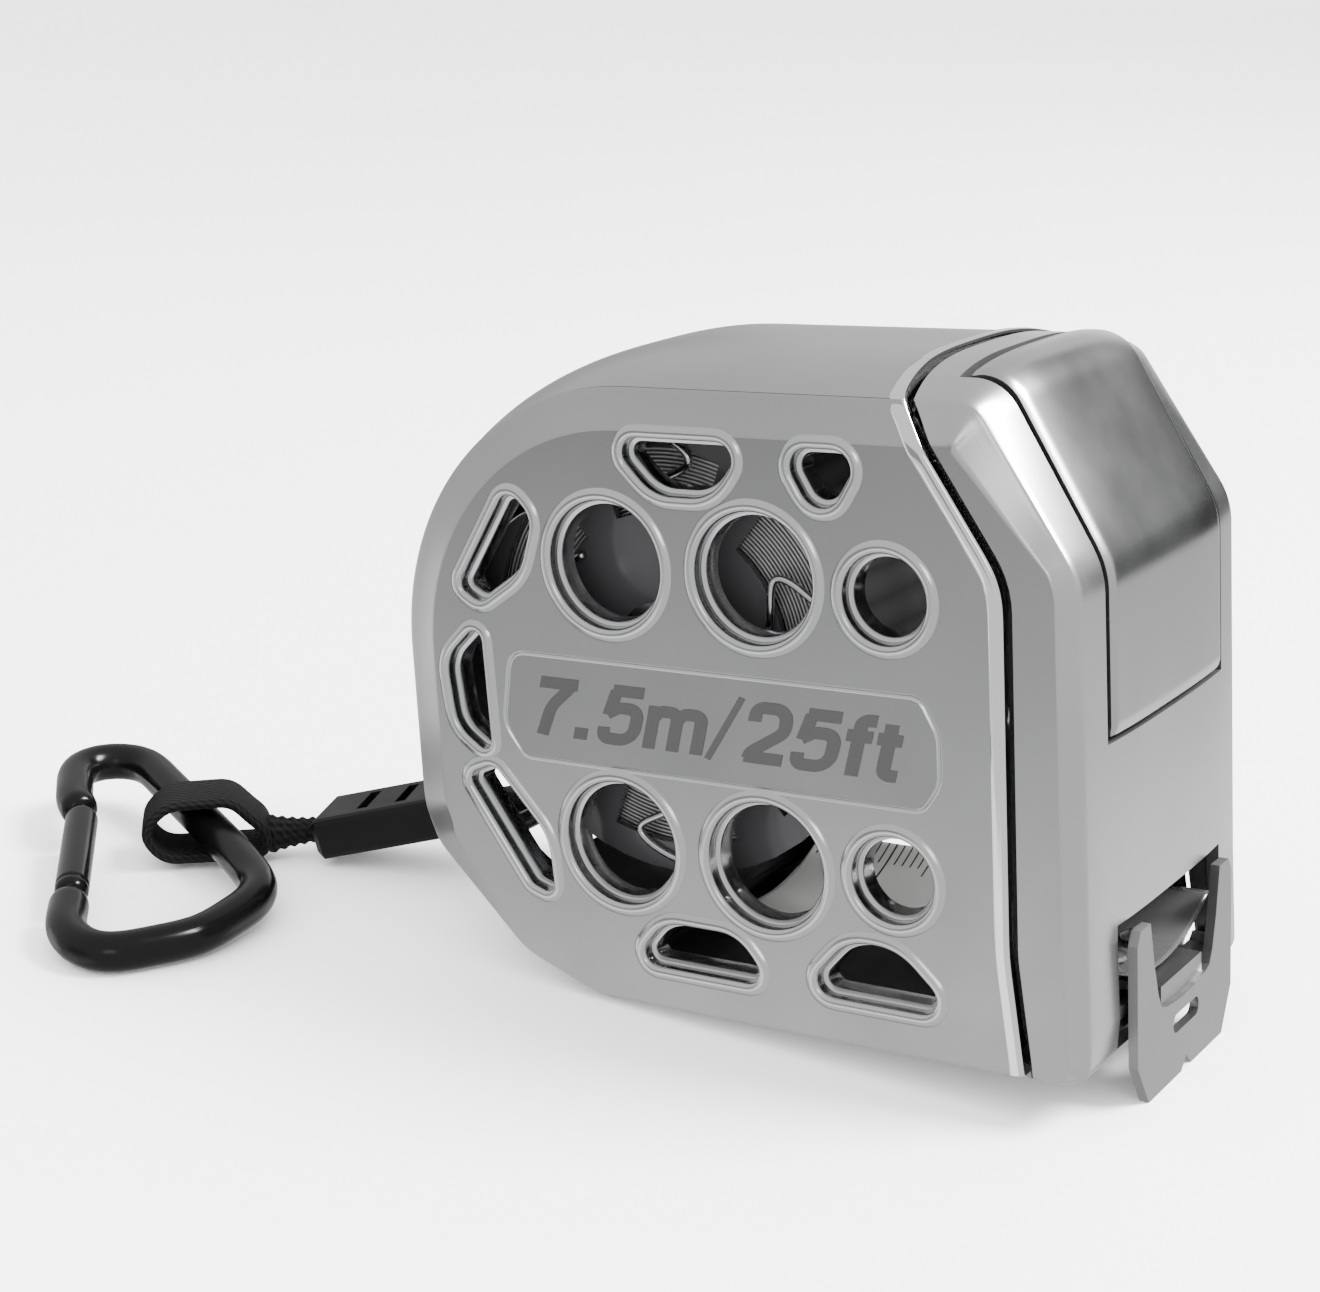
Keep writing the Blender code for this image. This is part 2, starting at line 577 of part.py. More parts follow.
def tether_link():
    """Short strap from the anchor pin to the block, wrapped once round the pin."""
    pin = lean() @ (Vector((ANCHOR[0], 0.0, ANCHOR[1])) * MM) / MM
    along, side, up = frame_at(BLOCK_NEAR, pin)
    reach = (pin - Vector(BLOCK_NEAR)).length
    wrap = [(reach + 2.0 * math.cos(a), 2.0 * math.sin(a)) for a in np.linspace(-2.35, 2.35, 13)]
    line = [(2.4, -0.1 - STRAP_THICK / 2)] + wrap + [(2.4, 0.1 + STRAP_THICK / 2)]
    return strap("tether_link", Vector(BLOCK_NEAR), along, up, side, line, 6.0, 0.9, False)


def strap(name, origin, along, up, side, line, width, thick, looped):
    """Flat webbing whose centre line is drawn in the plane of along and up."""
    line = np.array(line)
    n = normals(line, closed=looped)
    rings = []
    for point, normal in zip(line, n):
        ring = []
        for offset, across in ((thick / 2, -width / 2), (thick / 2, width / 2),
                               (-thick / 2, width / 2), (-thick / 2, -width / 2)):
            p = point + normal * offset
            ring.append(origin + along * p[0] + up * p[1] + side * across)
        rings.append(ring)
    return loft(name, rings, MATS["webbing"], looped)


def tether_block():
    along, side, up = frame_at(BLOCK_NEAR, BLOCK_FAR)
    length = (Vector(BLOCK_FAR) - Vector(BLOCK_NEAR)).length
    rings = []
    for s, w, h in ((-0.8, 2.6, 1.5), (0.0, 4.2, 2.0), (0.8, 4.9, 2.6), (length - 0.8, 4.9, 2.6), (length, 4.2, 2.0)):
        corner = rounded(((-w, -h, 0.7), (w, -h, 0.7), (w, h, 0.7), (-w, h, 0.7)), steps=2)
        rings.append([Vector(BLOCK_NEAR) + along * s + side * a + up * b for a, b in corner])
    block = loft("tether_block", rings, MATS["black_plastic"])
    for s in (length * 0.40, length * 0.66):
        low = [Vector(BLOCK_NEAR) + along * (s + a) + side * b + up * 1.2
               for a, b in ((-0.7, -3.0), (0.7, -3.0), (0.7, 3.0), (-0.7, 3.0))]
        boolean(block, loft("slot", [low, [p + up * 4.0 for p in low]], MATS["cutter"]), "DIFFERENCE")
    return block


def ferrule():
    """Crimped neck and knot between the block and the webbing loop."""
    start = Vector(BLOCK_FAR) + (Vector(KNOT) - Vector(BLOCK_FAR)).normalized() * 1.1
    along = (Vector(KNOT) - start).normalized()
    length = (Vector(KNOT) - start).length
    profile = ((0.0, 1.5), (length * 0.35, 1.7), (length * 0.5, 2.3), (length, 2.5), (length + 0.6, 2.1),
               (length + 0.9, 1.4))
    return lathe("tether_knot", tuple(start), tuple(along), profile, MATS["webbing"], 14)


def snap_frame():
    """Point on the snap hook's middle plane: a along its length from the near end, b across."""
    flat = Vector((math.cos(SNAP_HEADING), math.sin(SNAP_HEADING), 0.0))
    along = flat * math.cos(SNAP_LIFT) + Vector((0, 0, math.sin(SNAP_LIFT)))
    across = Vector((flat.y, -flat.x, 0.0))
    return Vector(SNAP_NEAR), along, across, along.cross(across)


def snap_line():
    """Open centre line of the snap hook, from the gate's hinge round to the nose."""
    corners = ((12.6, -8.5, 0.0), (5.0, -9.9, 6.5), (-2.0, -7.4, 6.5), (0.2, 4.6, 9.0), (9.0, 13.6, 9.0),
               (20.0, 11.6, 8.0), (50.2, 4.4, 5.0), (50.6, -4.0, 5.0), (38.6, -5.4, 4.0), (35.6, -4.6, 0.0))
    return rounded(corners, closed=False, steps=5)


def round_bar(name, line, radius, mat, count=10):
    """Round bar along a line on the snap hook's plane."""
    origin, along, across, normal = snap_frame()
    n = normals(line, closed=False)
    rings = []
    for point, side in zip(line, n):
        ring = []
        for a in np.linspace(0.0, 2.0 * math.pi, count, endpoint=False):
            p = point + side * radius * math.cos(a)
            ring.append(origin + along * p[0] + across * p[1] + normal * radius * math.sin(a))
        rings.append(ring)
    return loft(name, rings, mat)


def snap_parts():
    origin, along, across, normal = snap_frame()
    body = round_bar("snap_body", snap_line(), SNAP_TUBE, MATS["black_aluminium"], 12)
    gate_line = np.array([(13.5, -8.3), (16.0, -7.9), (32.0, -5.25), (34.6, -4.85)])
    gate = round_bar("snap_gate", gate_line, SNAP_TUBE * 0.86, MATS["black_aluminium"], 10)
    return body, gate


def strap_loop():
    """Webbing loop that runs over the snap hook's spine and back beneath it."""
    end = Vector(KNOT) + Vector((-0.75, -0.66, 0.0)) * 16.0
    along, side, up = frame_at(KNOT, end)
    corners = ((2.4, -1.4, 0.6), (2.4, 3.4, 1.0), (4.3, 5.6, 1.5), (12.0, 5.3, 2.4), (15.6, 1.9, 2.4),
               (12.5, -1.5, 2.0))
    return strap("strap_loop", Vector(KNOT), along, up, side, rounded(corners, steps=4), STRAP_WIDTH,
                 STRAP_THICK, True)


def set_origin(obj, point):
    """Move an object's origin to a world point in metres without moving its shape."""
    obj.data.transform(Matrix.Translation(-point))
    obj.location = point


MATS = {}


def make_materials():
    looks = {
        "case_metal": (SILVER, 1.0, 0.28), "label_metal": (SILVER, 1.0, 0.42), "button_metal": (SILVER, 1.0, 0.34),
        "dark_plastic": (DARK, 0.0, 0.45), "reel_plastic": (DARK, 0.0, 0.3), "blade_paint": ((0.8, 0.8, 0.78), 0.0, 0.35),
        "spring_steel": (STEEL, 1.0, 0.3), "hook_steel": (STEEL, 1.0, 0.33), "rubber": (BLACK, 0.0, 0.8),
        "webbing": (BLACK, 0.0, 0.85), "black_plastic": (BLACK, 0.0, 0.4), "black_aluminium": (BLACK, 0.6, 0.3),
        "cutter": (BLACK, 0.0, 0.5),
    }
    for name, (colour, metallic, roughness) in looks.items():
        MATS[name] = material(name, colour, metallic, roughness)


def main():
    clear_scene()
    make_materials()
    leaning = fixed_parts()
    reel = reel_parts()
    blade = [blade_strip(), rivet("hook_rivet_left", -3.2), rivet("hook_rivet_right", 3.2)]
    hook = end_hook()
    button = lock_button()
    for obj in leaning + reel + blade + [hook, button]:
        obj.data.transform(lean())
    for obj in reel:
        set_origin(obj, lean() @ (Vector((REEL_CENTRE[0], 0.0, REEL_CENTRE[1])) * MM))
    set_origin(button, lean() @ (Vector((BUTTON_PIVOT[0], 0.0, BUTTON_PIVOT[1])) * MM))
    pin = lean() @ (Vector((ANCHOR[0], 0.0, ANCHOR[1])) * MM)
    for obj in (tether_link(), tether_block(), ferrule(), strap_loop()):
        set_origin(obj, pin)
    body, gate = snap_parts()
    origin, along, across, normal = snap_frame()
    set_origin(body, (origin + along * 33.0 + across * 8.5) * MM)
    set_origin(gate, (origin + along * 13.2 - across * 8.4) * MM)
    bpy.context.view_layer.update()


main()
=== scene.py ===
"""Looks of the pocket tape measure: plated case, lock button, vents, end hook, tether and snap hook.

The case is drawn level in millimetres (x towards the mouth, y across, z up) and then leant back
by the same small angle as its CAD model. The tether is drawn in the world frame, in millimetres.
A corner of an outline is (x, z, radius), and a side is -1.0 for the left and 1.0 for the right.
"""

import math

import bmesh
import bpy
import numpy as np
from mathutils import Matrix, Vector
from mathutils.geometry import delaunay_2d_cdt


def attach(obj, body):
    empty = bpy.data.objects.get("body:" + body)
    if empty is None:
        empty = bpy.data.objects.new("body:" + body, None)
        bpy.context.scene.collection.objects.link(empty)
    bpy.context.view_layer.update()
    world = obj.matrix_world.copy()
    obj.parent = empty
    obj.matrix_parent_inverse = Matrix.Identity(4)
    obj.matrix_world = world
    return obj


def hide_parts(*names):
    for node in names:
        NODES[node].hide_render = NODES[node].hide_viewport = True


MM = 0.001

# The case leans back by PITCH on its heel and stands SHIFT forward of its own drawing.
PITCH = math.radians(4.6)
HEEL = -19.0
SHIFT = 1.96

# Case: half width at the flat sides and at the creases, height of the creases, swell between
# them, and depth of the bevel band over the top, down the front and under the case.
HALF = 21.0
CREASE = 19.2
HEIGHT = 66.5
CROWN = 2.6
BEVEL_TOP = 4.2
BEVEL_FRONT = 1.7
BEVEL_BOTTOM = 1.1
WALL, SKIN = 1.5, 1.3

# Centre of the reel, and the arc of the case's back over it.
REEL_X, REEL_Z = -10.5, 38.0
ARC_X, ARC_Z, ARC_RADIUS = -10.5, 37.0, 29.5

# Seam between the rear shell and the front body, and the front body's own outline.
SEAM = ((21.0, HEIGHT, 0.0), (31.7, 49.8, 9.0), (31.7, 13.0, 20.0), (33.2, 0.0, 0.0))
SEAM_SLOPE = (SEAM[1][0] - SEAM[0][0]) / (SEAM[0][1] - SEAM[1][1])
FRONT = ((22.19, HEIGHT, 0.0), (28.3, HEIGHT, 3.0), (38.6, 50.6, 8.0), (39.0, 12.0, 20.0), (39.3, 0.0, 2.4),
         (34.2, 0.0, 0.0))

# Button window and blade mouth: half widths, and where they start and end along the front.
WINDOW_HALF, WINDOW_REAR_X, WINDOW_FOOT_Z = 14.6, 25.2, 33.5
MOUTH_HALF, MOUTH_HEAD_Z, MOUTH_FOOT_Z = 13.3, 14.9, 2.0
BUTTON_HALF, BUTTON_PROUD, BUTTON_EASE = 13.95, 0.35, 1.1

# Vents: round ones as (x, z, radius), the others as outlines.
ROUND_VENTS = ((-12.8, 48.3, 6.7), (4.8, 48.3, 6.7), (19.3, 47.4, 4.5),
               (-12.8, 18.4, 6.7), (4.8, 18.4, 6.7), (19.3, 19.0, 4.5))
SLOTS = (
    ((-31.9, 44.6, 1.2), (-24.6, 55.8, 1.6), (-21.6, 52.6, 2.5), (-23.6, 46.6, 6.0), (-29.0, 43.0, 1.6)),
    ((-12.0, 61.7, 1.9), (4.6, 61.7, 1.9), (0.4, 56.0, 5.0), (-6.5, 56.0, 5.0)),
    ((8.2, 61.6, 1.9), (17.6, 61.6, 1.9), (12.7, 53.6, 2.4)),
    ((-29.3, 41.0, 1.0), (-34.2, 36.4, 4.0), (-33.4, 29.0, 4.0), (-28.9, 25.9, 1.0)),
    ((-32.6, 23.6, 1.2), (-28.8, 25.1, 1.4), (-22.2, 17.8, 6.0), (-21.8, 11.2, 1.4), (-24.8, 12.2, 1.2)),
    ((-12.2, 5.2, 1.7), (5.0, 5.2, 1.7), (1.0, 10.3, 4.5), (-8.0, 10.3, 4.5)),
    ((8.2, 5.4, 1.7), (26.3, 5.4, 1.7), (19.6, 11.8, 6.0), (14.0, 11.8, 5.0)),
)
LABEL = ((-25.6, 38.1, 2.0), (22.8, 38.1, 1.5), (24.8, 34.4, 3.0), (24.8, 29.5, 3.0),
         (22.8, 26.6, 1.5), (-24.6, 26.6, 1.5), (-27.0, 30.0, 3.0))
POSTS = ((20.8, 57.6), (-16.5, 5.2), (27.6, 24.0))
SCREW_HOLE = 2.25

# Nominal length of a surface's last row of cells, for its uv.
LAST_ROW = 0.2

# Profiles: lip of a vent and label groove as (outwards, proud of the side), bevel band as (depth
# below the side, share of the bevel's step), the front body's bevel as (past the crease, share of
# the bevel's depth), and the seam's rim as (back, out).
LIP = np.array([(1.42, -0.06), (1.34, 0.02), (1.22, 0.12), (1.06, 0.23), (0.86, 0.32), (0.62, 0.36),
                (0.4, 0.33), (0.2, 0.22), (0.06, 0.04), (0.0, -0.2), (0.0, -0.9), (-0.08, -1.1),
                (-0.3, -1.2), (-0.5, -1.24), (-0.6, -1.4), (-0.6, -3.4)])
GROOVE = np.array([(0.3, 0.0), (0.22, 0.02), (0.12, -0.04), (0.0, -0.14), (-0.12, -0.04), (-0.22, 0.02),
                   (-0.3, 0.0)])
BAND = np.array([(0.0, 1.0), (0.02, 0.985), (0.06, 0.955), (0.13, 0.91), (0.6, 0.64), (1.1, 0.27),
                 (1.32, 0.11), (1.4, 0.05), (1.46, 0.015), (1.5, 0.0)])
FRONT_BAND = np.array([(1.8, 1.0), (1.79, 0.97), (1.74, 0.9), (1.6, 0.8), (0.5, 0.27), (0.26, 0.12),
                       (0.1, 0.03)])
RIM = np.array([(-0.15, -1.6), (-0.15, -0.02), (-0.06, 0.16), (0.12, 0.28), (0.6, 0.32), (1.2, 0.28),
                (1.46, 0.16), (1.56, -0.02), (1.58, -0.3)])
LIP_SEAT = 1.38
GROOVE_HALF = 0.3

# Height where the covers leave the seam, and the length over which a top edge turns to the seam's
# slant. The front's bevel turns a corner over BEND_BLUR, from BEND_START past the seam.
SEAM_TRIM = 60.5
SHEAR_FADE = 8.0
BEND_BLUR, BEND_START = 3.6, 3.0
MIDDLE = (20.0, 0.0, 33.0)

# Slot in the back that the strap leaves by: heights, rear of x, half width.
STRAP_LOW, STRAP_HIGH, STRAP_X, STRAP_HALF = 7.0, 19.0, -30.0, 6.2

# Blade strip: half width, height of its middle and rise of its edges, start and end along x.
BLADE_HALF, BLADE_LOW, BLADE_RISE = 12.5, 6.5, 3.3
BLADE_REAR_X, BLADE_TIP_X = -8.0, 38.9

# Bar in the case that the tether turns about, in the case's level drawing.
TETHER_PIN = Vector((-33.5, 0.0, 14.7))

# Tether and snap hook, in the world frame: places, heading and rise, radii of the bar and the gate.
KNOT = Vector((-71.89, -9.0, 2.9))
BLOCK_NEAR = Vector((-49.39, 2.4, 8.4))
BLOCK_FAR = Vector((-66.89, -4.2, 3.2))
SNAP_NEAR = Vector((-60.89, -40.0, 2.35))
SNAP_HEADING, SNAP_LIFT = math.radians(140.5), 0.08
BAR_RADIUS, GATE_RADIUS = 2.3, 1.98
UP = np.array([0.0, 0.0, 1.0])

# Camera: lens and its shift, place in millimetres, and the ways it looks and has on its right.
LENS, LENS_SHIFT = 70.15, (0.0084, 0.0351)
CAMERA_PLACE = Vector((126.34, -231.38, 117.49))
CAMERA_AHEAD = Vector((-0.5147, 0.7996, -0.3093))
CAMERA_RIGHT = Vector((0.8386, 0.5446, 0.0125))

# Reflectors one metre out: name, heading and rise in degrees, width and height in metres, brightness.
CARDS = (("button_bend", 69.0, 2.0, 0.9, 0.3, 0.01), ("button_slant", 70.0, 25.0, 0.8, 0.5, 0.12),
         ("front_low", 67.0, -25.0, 0.8, 0.34, 1.6), ("slant_band", -63.0, 22.0, 0.3, 0.3, 3.6),
         ("side_top", 237.0, -3.0, 0.7, 0.34, 0.32), ("side_low", 237.0, -34.0, 0.9, 0.42, 1.7),
         ("rear_left", 187.0, -16.0, 0.3, 0.4, 2.2), ("top_right", 107.0, 6.0, 0.25, 0.3, 1.7),
         ("top_left", 132.0, 6.0, 0.35, 0.3, 0.5))
CARD_AIM = Vector((0.0, 0.0, 0.04))

# Brightness of the white surroundings as they light the object, and as polished metal shows them,
# and the key light's power in watts.
SKY, SKY_GLOSSY = 4.2, 0.9
KEY_POWER = 44.0

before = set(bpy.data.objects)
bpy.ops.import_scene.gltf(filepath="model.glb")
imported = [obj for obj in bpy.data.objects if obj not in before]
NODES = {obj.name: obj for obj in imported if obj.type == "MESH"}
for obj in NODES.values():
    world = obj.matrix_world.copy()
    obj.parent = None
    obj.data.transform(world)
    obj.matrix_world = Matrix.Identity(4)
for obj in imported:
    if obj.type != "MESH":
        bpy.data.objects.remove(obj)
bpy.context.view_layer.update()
STAND = Vector((SHIFT, 0.0, -HEEL * math.sin(PITCH))) * MM
LEAN = Matrix.Translation(STAND) @ Matrix.Rotation(-PITCH, 4, "Y")
LEAN_TURN = np.array(LEAN)[:3, :3].T
LEAN_MOVE = np.array(LEAN)[:3, 3]


# ---- camera, lights and stage ------------------------------------------------------------

def add_camera():
    """Long lens from the front left, a little above the case, with a small shift of the frame."""
    data = bpy.data.cameras.new("camera")
    data.lens = LENS
    data.sensor_width = 36.0
    data.shift_x, data.shift_y = LENS_SHIFT
    data.clip_start = 0.01
    obj = bpy.data.objects.new("camera", data)
    bpy.context.scene.collection.objects.link(obj)
    ahead, right = CAMERA_AHEAD.normalized(), CAMERA_RIGHT.normalized()
    up = right.cross(ahead).normalized()
    turn = Matrix((right, up, -ahead)).transposed().to_4x4()
    obj.matrix_world = Matrix.Translation(CAMERA_PLACE * MM) @ turn
    bpy.context.scene.camera = obj


def aimed(place, aim):
    """Transform at place whose -Z points at aim."""
    look = (Vector(aim) - Vector(place)).to_track_quat("-Z", "Y")
    return Matrix.Translation(Vector(place)) @ look.to_matrix().to_4x4()


def area_light(name, place, aim, size, power):
    """Soft rectangular lamp."""
    data = bpy.data.lights.new(name, "AREA")
    data.shape = "RECTANGLE"
    data.size, data.size_y = size
    data.energy = power
    obj = bpy.data.objects.new(name, data)
    bpy.context.scene.collection.objects.link(obj)
    obj.matrix_world = aimed(place, aim)


def card(name, place, aim, size, mat):
    """Flat reflector that only glossy rays see."""
    mesh = bpy.data.meshes.new(name)
    half = Vector((size[0] / 2, size[1] / 2, 0.0))
    corners = [half * Vector(turn) for turn in ((-1, -1, 0), (1, -1, 0), (1, 1, 0), (-1, 1, 0))]
    at = aimed(place, aim)
    mesh.from_pydata([at @ corner for corner in corners], [], [(0, 1, 2, 3)])
    mesh.materials.append(mat)
    obj = bpy.data.objects.new(name, mesh)
    bpy.context.scene.collection.objects.link(obj)
    obj.visible_camera = False
    obj.visible_diffuse = False
    obj.visible_shadow = False


# ---- shader helpers ----------------------------------------------------------------------

class Sock:
    """Socket wrapped so that ordinary arithmetic adds Math nodes."""

    def __init__(self, nodes, out):
        self.nodes = nodes
        self.out = out

    def math(self, op, *others):
        return self.nodes.add("ShaderNodeMath", {"operation": op}, [self] + list(others))

    def __add__(self, other):
        return self.math("ADD", other)

    def __radd__(self, other):
        return self.math("ADD", other)

    def __sub__(self, other):
        return self.math("SUBTRACT", other)

    def __rsub__(self, other):
        return (self * -1.0) + other

    def __mul__(self, other):
        return self.math("MULTIPLY", other)

    def __rmul__(self, other):
        return self.math("MULTIPLY", other)

    def __truediv__(self, other):
        return self.math("DIVIDE", other)

    def __gt__(self, other):
        return self.math("GREATER_THAN", other)

    def __lt__(self, other):
        return self.math("LESS_THAN", other)

    def abs(self):
        return self.math("ABSOLUTE")

    def frac(self):
        return self.math("FRACT")

    def split(self):
        """The three parts of a vector."""
        parts = self.nodes.add("ShaderNodeSeparateXYZ", None, [self]).out.node.outputs
        return [Sock(self.nodes, part) for part in parts]


class Look:
    """Material being built: add() makes one node from its type, settings and input values."""

    def __init__(self, name, colour, metallic, roughness, **fixed):
        self.mat = bpy.data.materials.new(name)
        self.mat.use_nodes = True
        self.tree = self.mat.node_tree
        self.shader = self.tree.nodes["Principled BSDF"]
        self.put("Base Color", (*colour, 1.0))
        self.put("Metallic", metallic)
        self.put("Roughness", roughness)
        for key, value in fixed.items():
            self.put(key.replace("_", " "), value)

    def put(self, socket, value):
        if isinstance(value, Sock):
            self.tree.links.new(value.out, self.shader.inputs[socket])
        else:
            self.shader.inputs[socket].default_value = value

    def add(self, kind, settings=None, values=(), out=0):
        node = self.tree.nodes.new(kind)
        for key, value in (settings or {}).items():
            setattr(node, key, value)
        pairs = values.items() if isinstance(values, dict) else enumerate(values)
        for key, value in pairs:
            if isinstance(value, Sock):
                self.tree.links.new(value.out, node.inputs[key])
            else:
                node.inputs[key].default_value = value
        return Sock(self, node.outputs[out])

    def place(self):
        return self.add("ShaderNodeTexCoord", out="Object")

    def uv(self):
        return self.add("ShaderNodeUVMap", {"uv_map": "uv"})

    def noise(self, scale, detail=2.0):
        values = {"Vector": self.place(), "Scale": scale, "Detail": detail}
        return self.add("ShaderNodeTexNoise", None, values)

    def ramp(self, value, low, high, to_low, to_high):
        return self.add("ShaderNodeMapRange", None, [value, low, high, to_low, to_high])

    def blend(self, factor, first, second):
        """Mix of two colours, which are the Mix node's inputs 6 and 7 and its output 2."""
        values = {0: factor, 6: first, 7: second}
        return self.add("ShaderNodeMix", {"data_type": "RGBA"}, values, out=2)

    def bump(self, height, strength, distance):
        self.put("Normal", self.add("ShaderNodeBump", None, {"Height": height, "Strength": strength,
                                                             "Distance": distance}))


def plated(name, shade, rough, grain=0.25):
    """Satin plating: very fine grain in the relief and slow drifts in the polish."""
    look = Look(name, (shade, shade * 1.01, shade * 1.02), 1.0, rough)
    drift = look.noise(70.0, 3.0)
    look.put("Roughness", look.ramp(drift, 0.3, 0.7, rough - 0.03, rough + 0.05))
    fine = look.noise(5200.0, 2.0)
    look.bump(fine, grain, 0.00002)
    tone = look.noise(38.0, 2.0)
    low = (shade * 0.96, shade * 0.97, shade * 0.98, 1.0)
    high = (shade * 1.03, shade * 1.035, shade * 1.04, 1.0)
    look.put("Base Color", look.blend(look.ramp(tone, 0.35, 0.65, 0.0, 1.0), low, high))
    return look.mat


def plastic(name, colour, rough, grain, scale=2600.0, shine=0.5):
    """Moulded plastic, paint or anodising: a fine grain and a slow drift in the gloss."""
    look = Look(name, colour, 0.0, rough, Specular_IOR_Level=shine)
    fine = look.noise(scale, 3.0)
    look.bump(fine, grain, 0.00004)
    look.put("Roughness", look.ramp(look.noise(120.0), 0.3, 0.7, rough - 0.05, rough + 0.08))
    return look.mat


def woven(name):
    """Black nylon webbing: a herringbone of fine ribs that follows the strap's own UV in metres."""
    look = Look(name, (0.006, 0.006, 0.007), 0.0, 0.82, Specular_IOR_Level=0.15)
    along, across, _ = look.uv().split()
    rib = ((along * 900.0 + (across * 1100.0).abs()).frac() - 0.5).abs()
    row = ((across * 1400.0).frac() - 0.5).abs()
    height = rib * 1.2 + row
    look.bump(height, 0.8, 0.00025)
    look.put("Base Color", look.blend(look.ramp(height, 0.2, 1.0, 0.0, 1.0), (0.002, 0.002, 0.002, 1.0),
                                      (0.008, 0.008, 0.009, 1.0)))
    return look.mat


def emitter(name, level):
    """Even white glow for a reflector."""
    mat = bpy.data.materials.new(name)
    mat.use_nodes = True
    tree = mat.node_tree
    tree.nodes.clear()
    glow = tree.nodes.new("ShaderNodeEmission")
    glow.inputs[0].default_value = (level, level, level, 1.0)
    out = tree.nodes.new("ShaderNodeOutputMaterial")
    tree.links.new(glow.outputs[0], out.inputs[0])
    return mat


# ---- outlines ----------------------------------------------------------------------------

def rounded(corners, closed=True, steps=8):
    """Polyline through (x, z, radius) corners, each turned into an arc of that radius."""
    pts = [np.array(c[:2], float) for c in corners]
    out = []
    for i, corner in enumerate(corners):
        here = pts[i]
        if (not closed and i in (0, len(pts) - 1)) or corner[2] <= 0.0:
            out.append(here)
            continue
        back, ahead = pts[i - 1] - here, pts[(i + 1) % len(pts)] - here
        room_back, room_ahead = np.linalg.norm(back), np.linalg.norm(ahead)
        back, ahead = back / room_back, ahead / room_ahead
        half = 0.5 * math.acos(max(-1.0, min(1.0, float(back @ ahead))))
        reach = min(corner[2] / math.tan(half), 0.48 * room_back, 0.48 * room_ahead)
        centre = here + (back + ahead) / np.linalg.norm(back + ahead) * reach / math.cos(half)
        a, b = here + back * reach - centre, here + ahead * reach - centre
        sweep = math.pi - 2.0 * half
        t = np.linspace(0.0, 1.0, steps + 1)[:, None]
        arc = centre + (a * np.sin((1 - t) * sweep) + b * np.sin(t * sweep)) / math.sin(sweep)
        out.extend(arc)
    return np.array(out)


def resample(path, count, closed=False):
    """Same line with points spaced evenly along it."""
    line = np.vstack([path, path[:1]]) if closed else path
    run = np.concatenate([[0.0], np.cumsum(np.linalg.norm(np.diff(line, axis=0), axis=1))])
    s = np.linspace(0.0, run[-1], count, endpoint=not closed)
    return np.stack([np.interp(s, run, line[:, k]) for k in range(line.shape[1])], axis=1)


def softened(line, count, closed=False):
    """Running mean over count points; an open line keeps its first and last points."""
    reach = count // 2
    if closed:
        line = np.vstack([line[-reach:], line, line[:reach]])
    mean = np.stack([np.convolve(column, np.ones(count) / count, "valid") for column in line.T], axis=1)
    return mean if closed else np.vstack([line[:reach], mean, line[-reach:]])


def normals(path, closed=True):
    """Unit normals to the left of the way along a flat path."""
    tangent = np.roll(path, -1, 0) - np.roll(path, 1, 0) if closed else np.gradient(path, axis=0)
    tangent = tangent / np.linalg.norm(tangent, axis=1)[:, None]
    return np.stack([-tangent[:, 1], tangent[:, 0]], axis=1)


def outward(path):
    """Unit normals out of a closed path, whichever way it turns."""
    x, z = path[:, 0], path[:, 1]
    turn = float(np.sum(x * np.roll(z, -1) - np.roll(x, -1) * z))
    return normals(path) * (-1.0 if turn > 0.0 else 1.0)


def circle(cx, cz, radius, count=72):
    """Round outline: centre + radius * (cos t, sin t)."""
    t = np.linspace(0.0, 2.0 * math.pi, count, endpoint=False)
    return np.stack([cx + radius * np.cos(t), cz + radius * np.sin(t)], axis=1)


def swell(y):
    """Share of the crown at y: one in the middle, falling to nothing at the creases as the cube of y."""
    return 1.0 - np.abs(np.asarray(y) / CREASE) ** 3


def shell_path(count=150):
    """Rear shell from the seam's foot round the heel and back, and along the top to the seam's head."""
    heel = rounded(((SEAM[-1][0], 0.0, 0.0), (-18.0, 0.0, 9.0), (-27.4, 3.6, 7.0), (-38.4, 14.6, 4.5),
                    (-40.0, 19.0, 7.0), (-40.0, 36.0, 0.0)), closed=False)
    sweep = np.linspace(math.pi, math.pi / 2.0, 40)
    arc = np.stack([ARC_X + ARC_RADIUS * np.cos(sweep), ARC_Z + ARC_RADIUS * np.sin(sweep)], 1)
    return resample(np.vstack([heel, arc, [(0.0, HEIGHT), SEAM[0][:2]]]), count)


def shell_bevel(path):
    """Step inwards from the shell's path to the edge of the flat side; shallow under the case,
    deep over the top, and slid along the seam at the seam's head."""
    n = normals(path, closed=False)
    n[0], n[-1] = (0.0, -1.0), (0.0, 1.0)
    high = np.clip((path[:, 1] - 2.0) / 14.0, 0.0, 1.0)
    step = -n * (BEVEL_BOTTOM + (BEVEL_TOP - BEVEL_BOTTOM) * high)[:, None]
    step[-1, 0] = SEAM_SLOPE * BEVEL_TOP
    step[0, 0] = -0.12 * BEVEL_BOTTOM
    return step


def seam_path(shift=0.0):
    """Seam from its head to its foot, moved forward by shift."""
    line = rounded(SEAM, closed=False)
    inner = line[1:-1] + normals(line, closed=False)[1:-1] * shift
    return np.vstack([line[0] + (shift * math.hypot(1.0, SEAM_SLOPE), 0.0), inner, line[-1] + (shift, 0.0)])


def at_y(path, y):
    """The flat (x, z) path laid at y."""
    return np.stack([path[:, 0], np.full(len(path), float(y)), path[:, 1]], axis=1)


# ---- surfaces ----------------------------------------------------------------------------

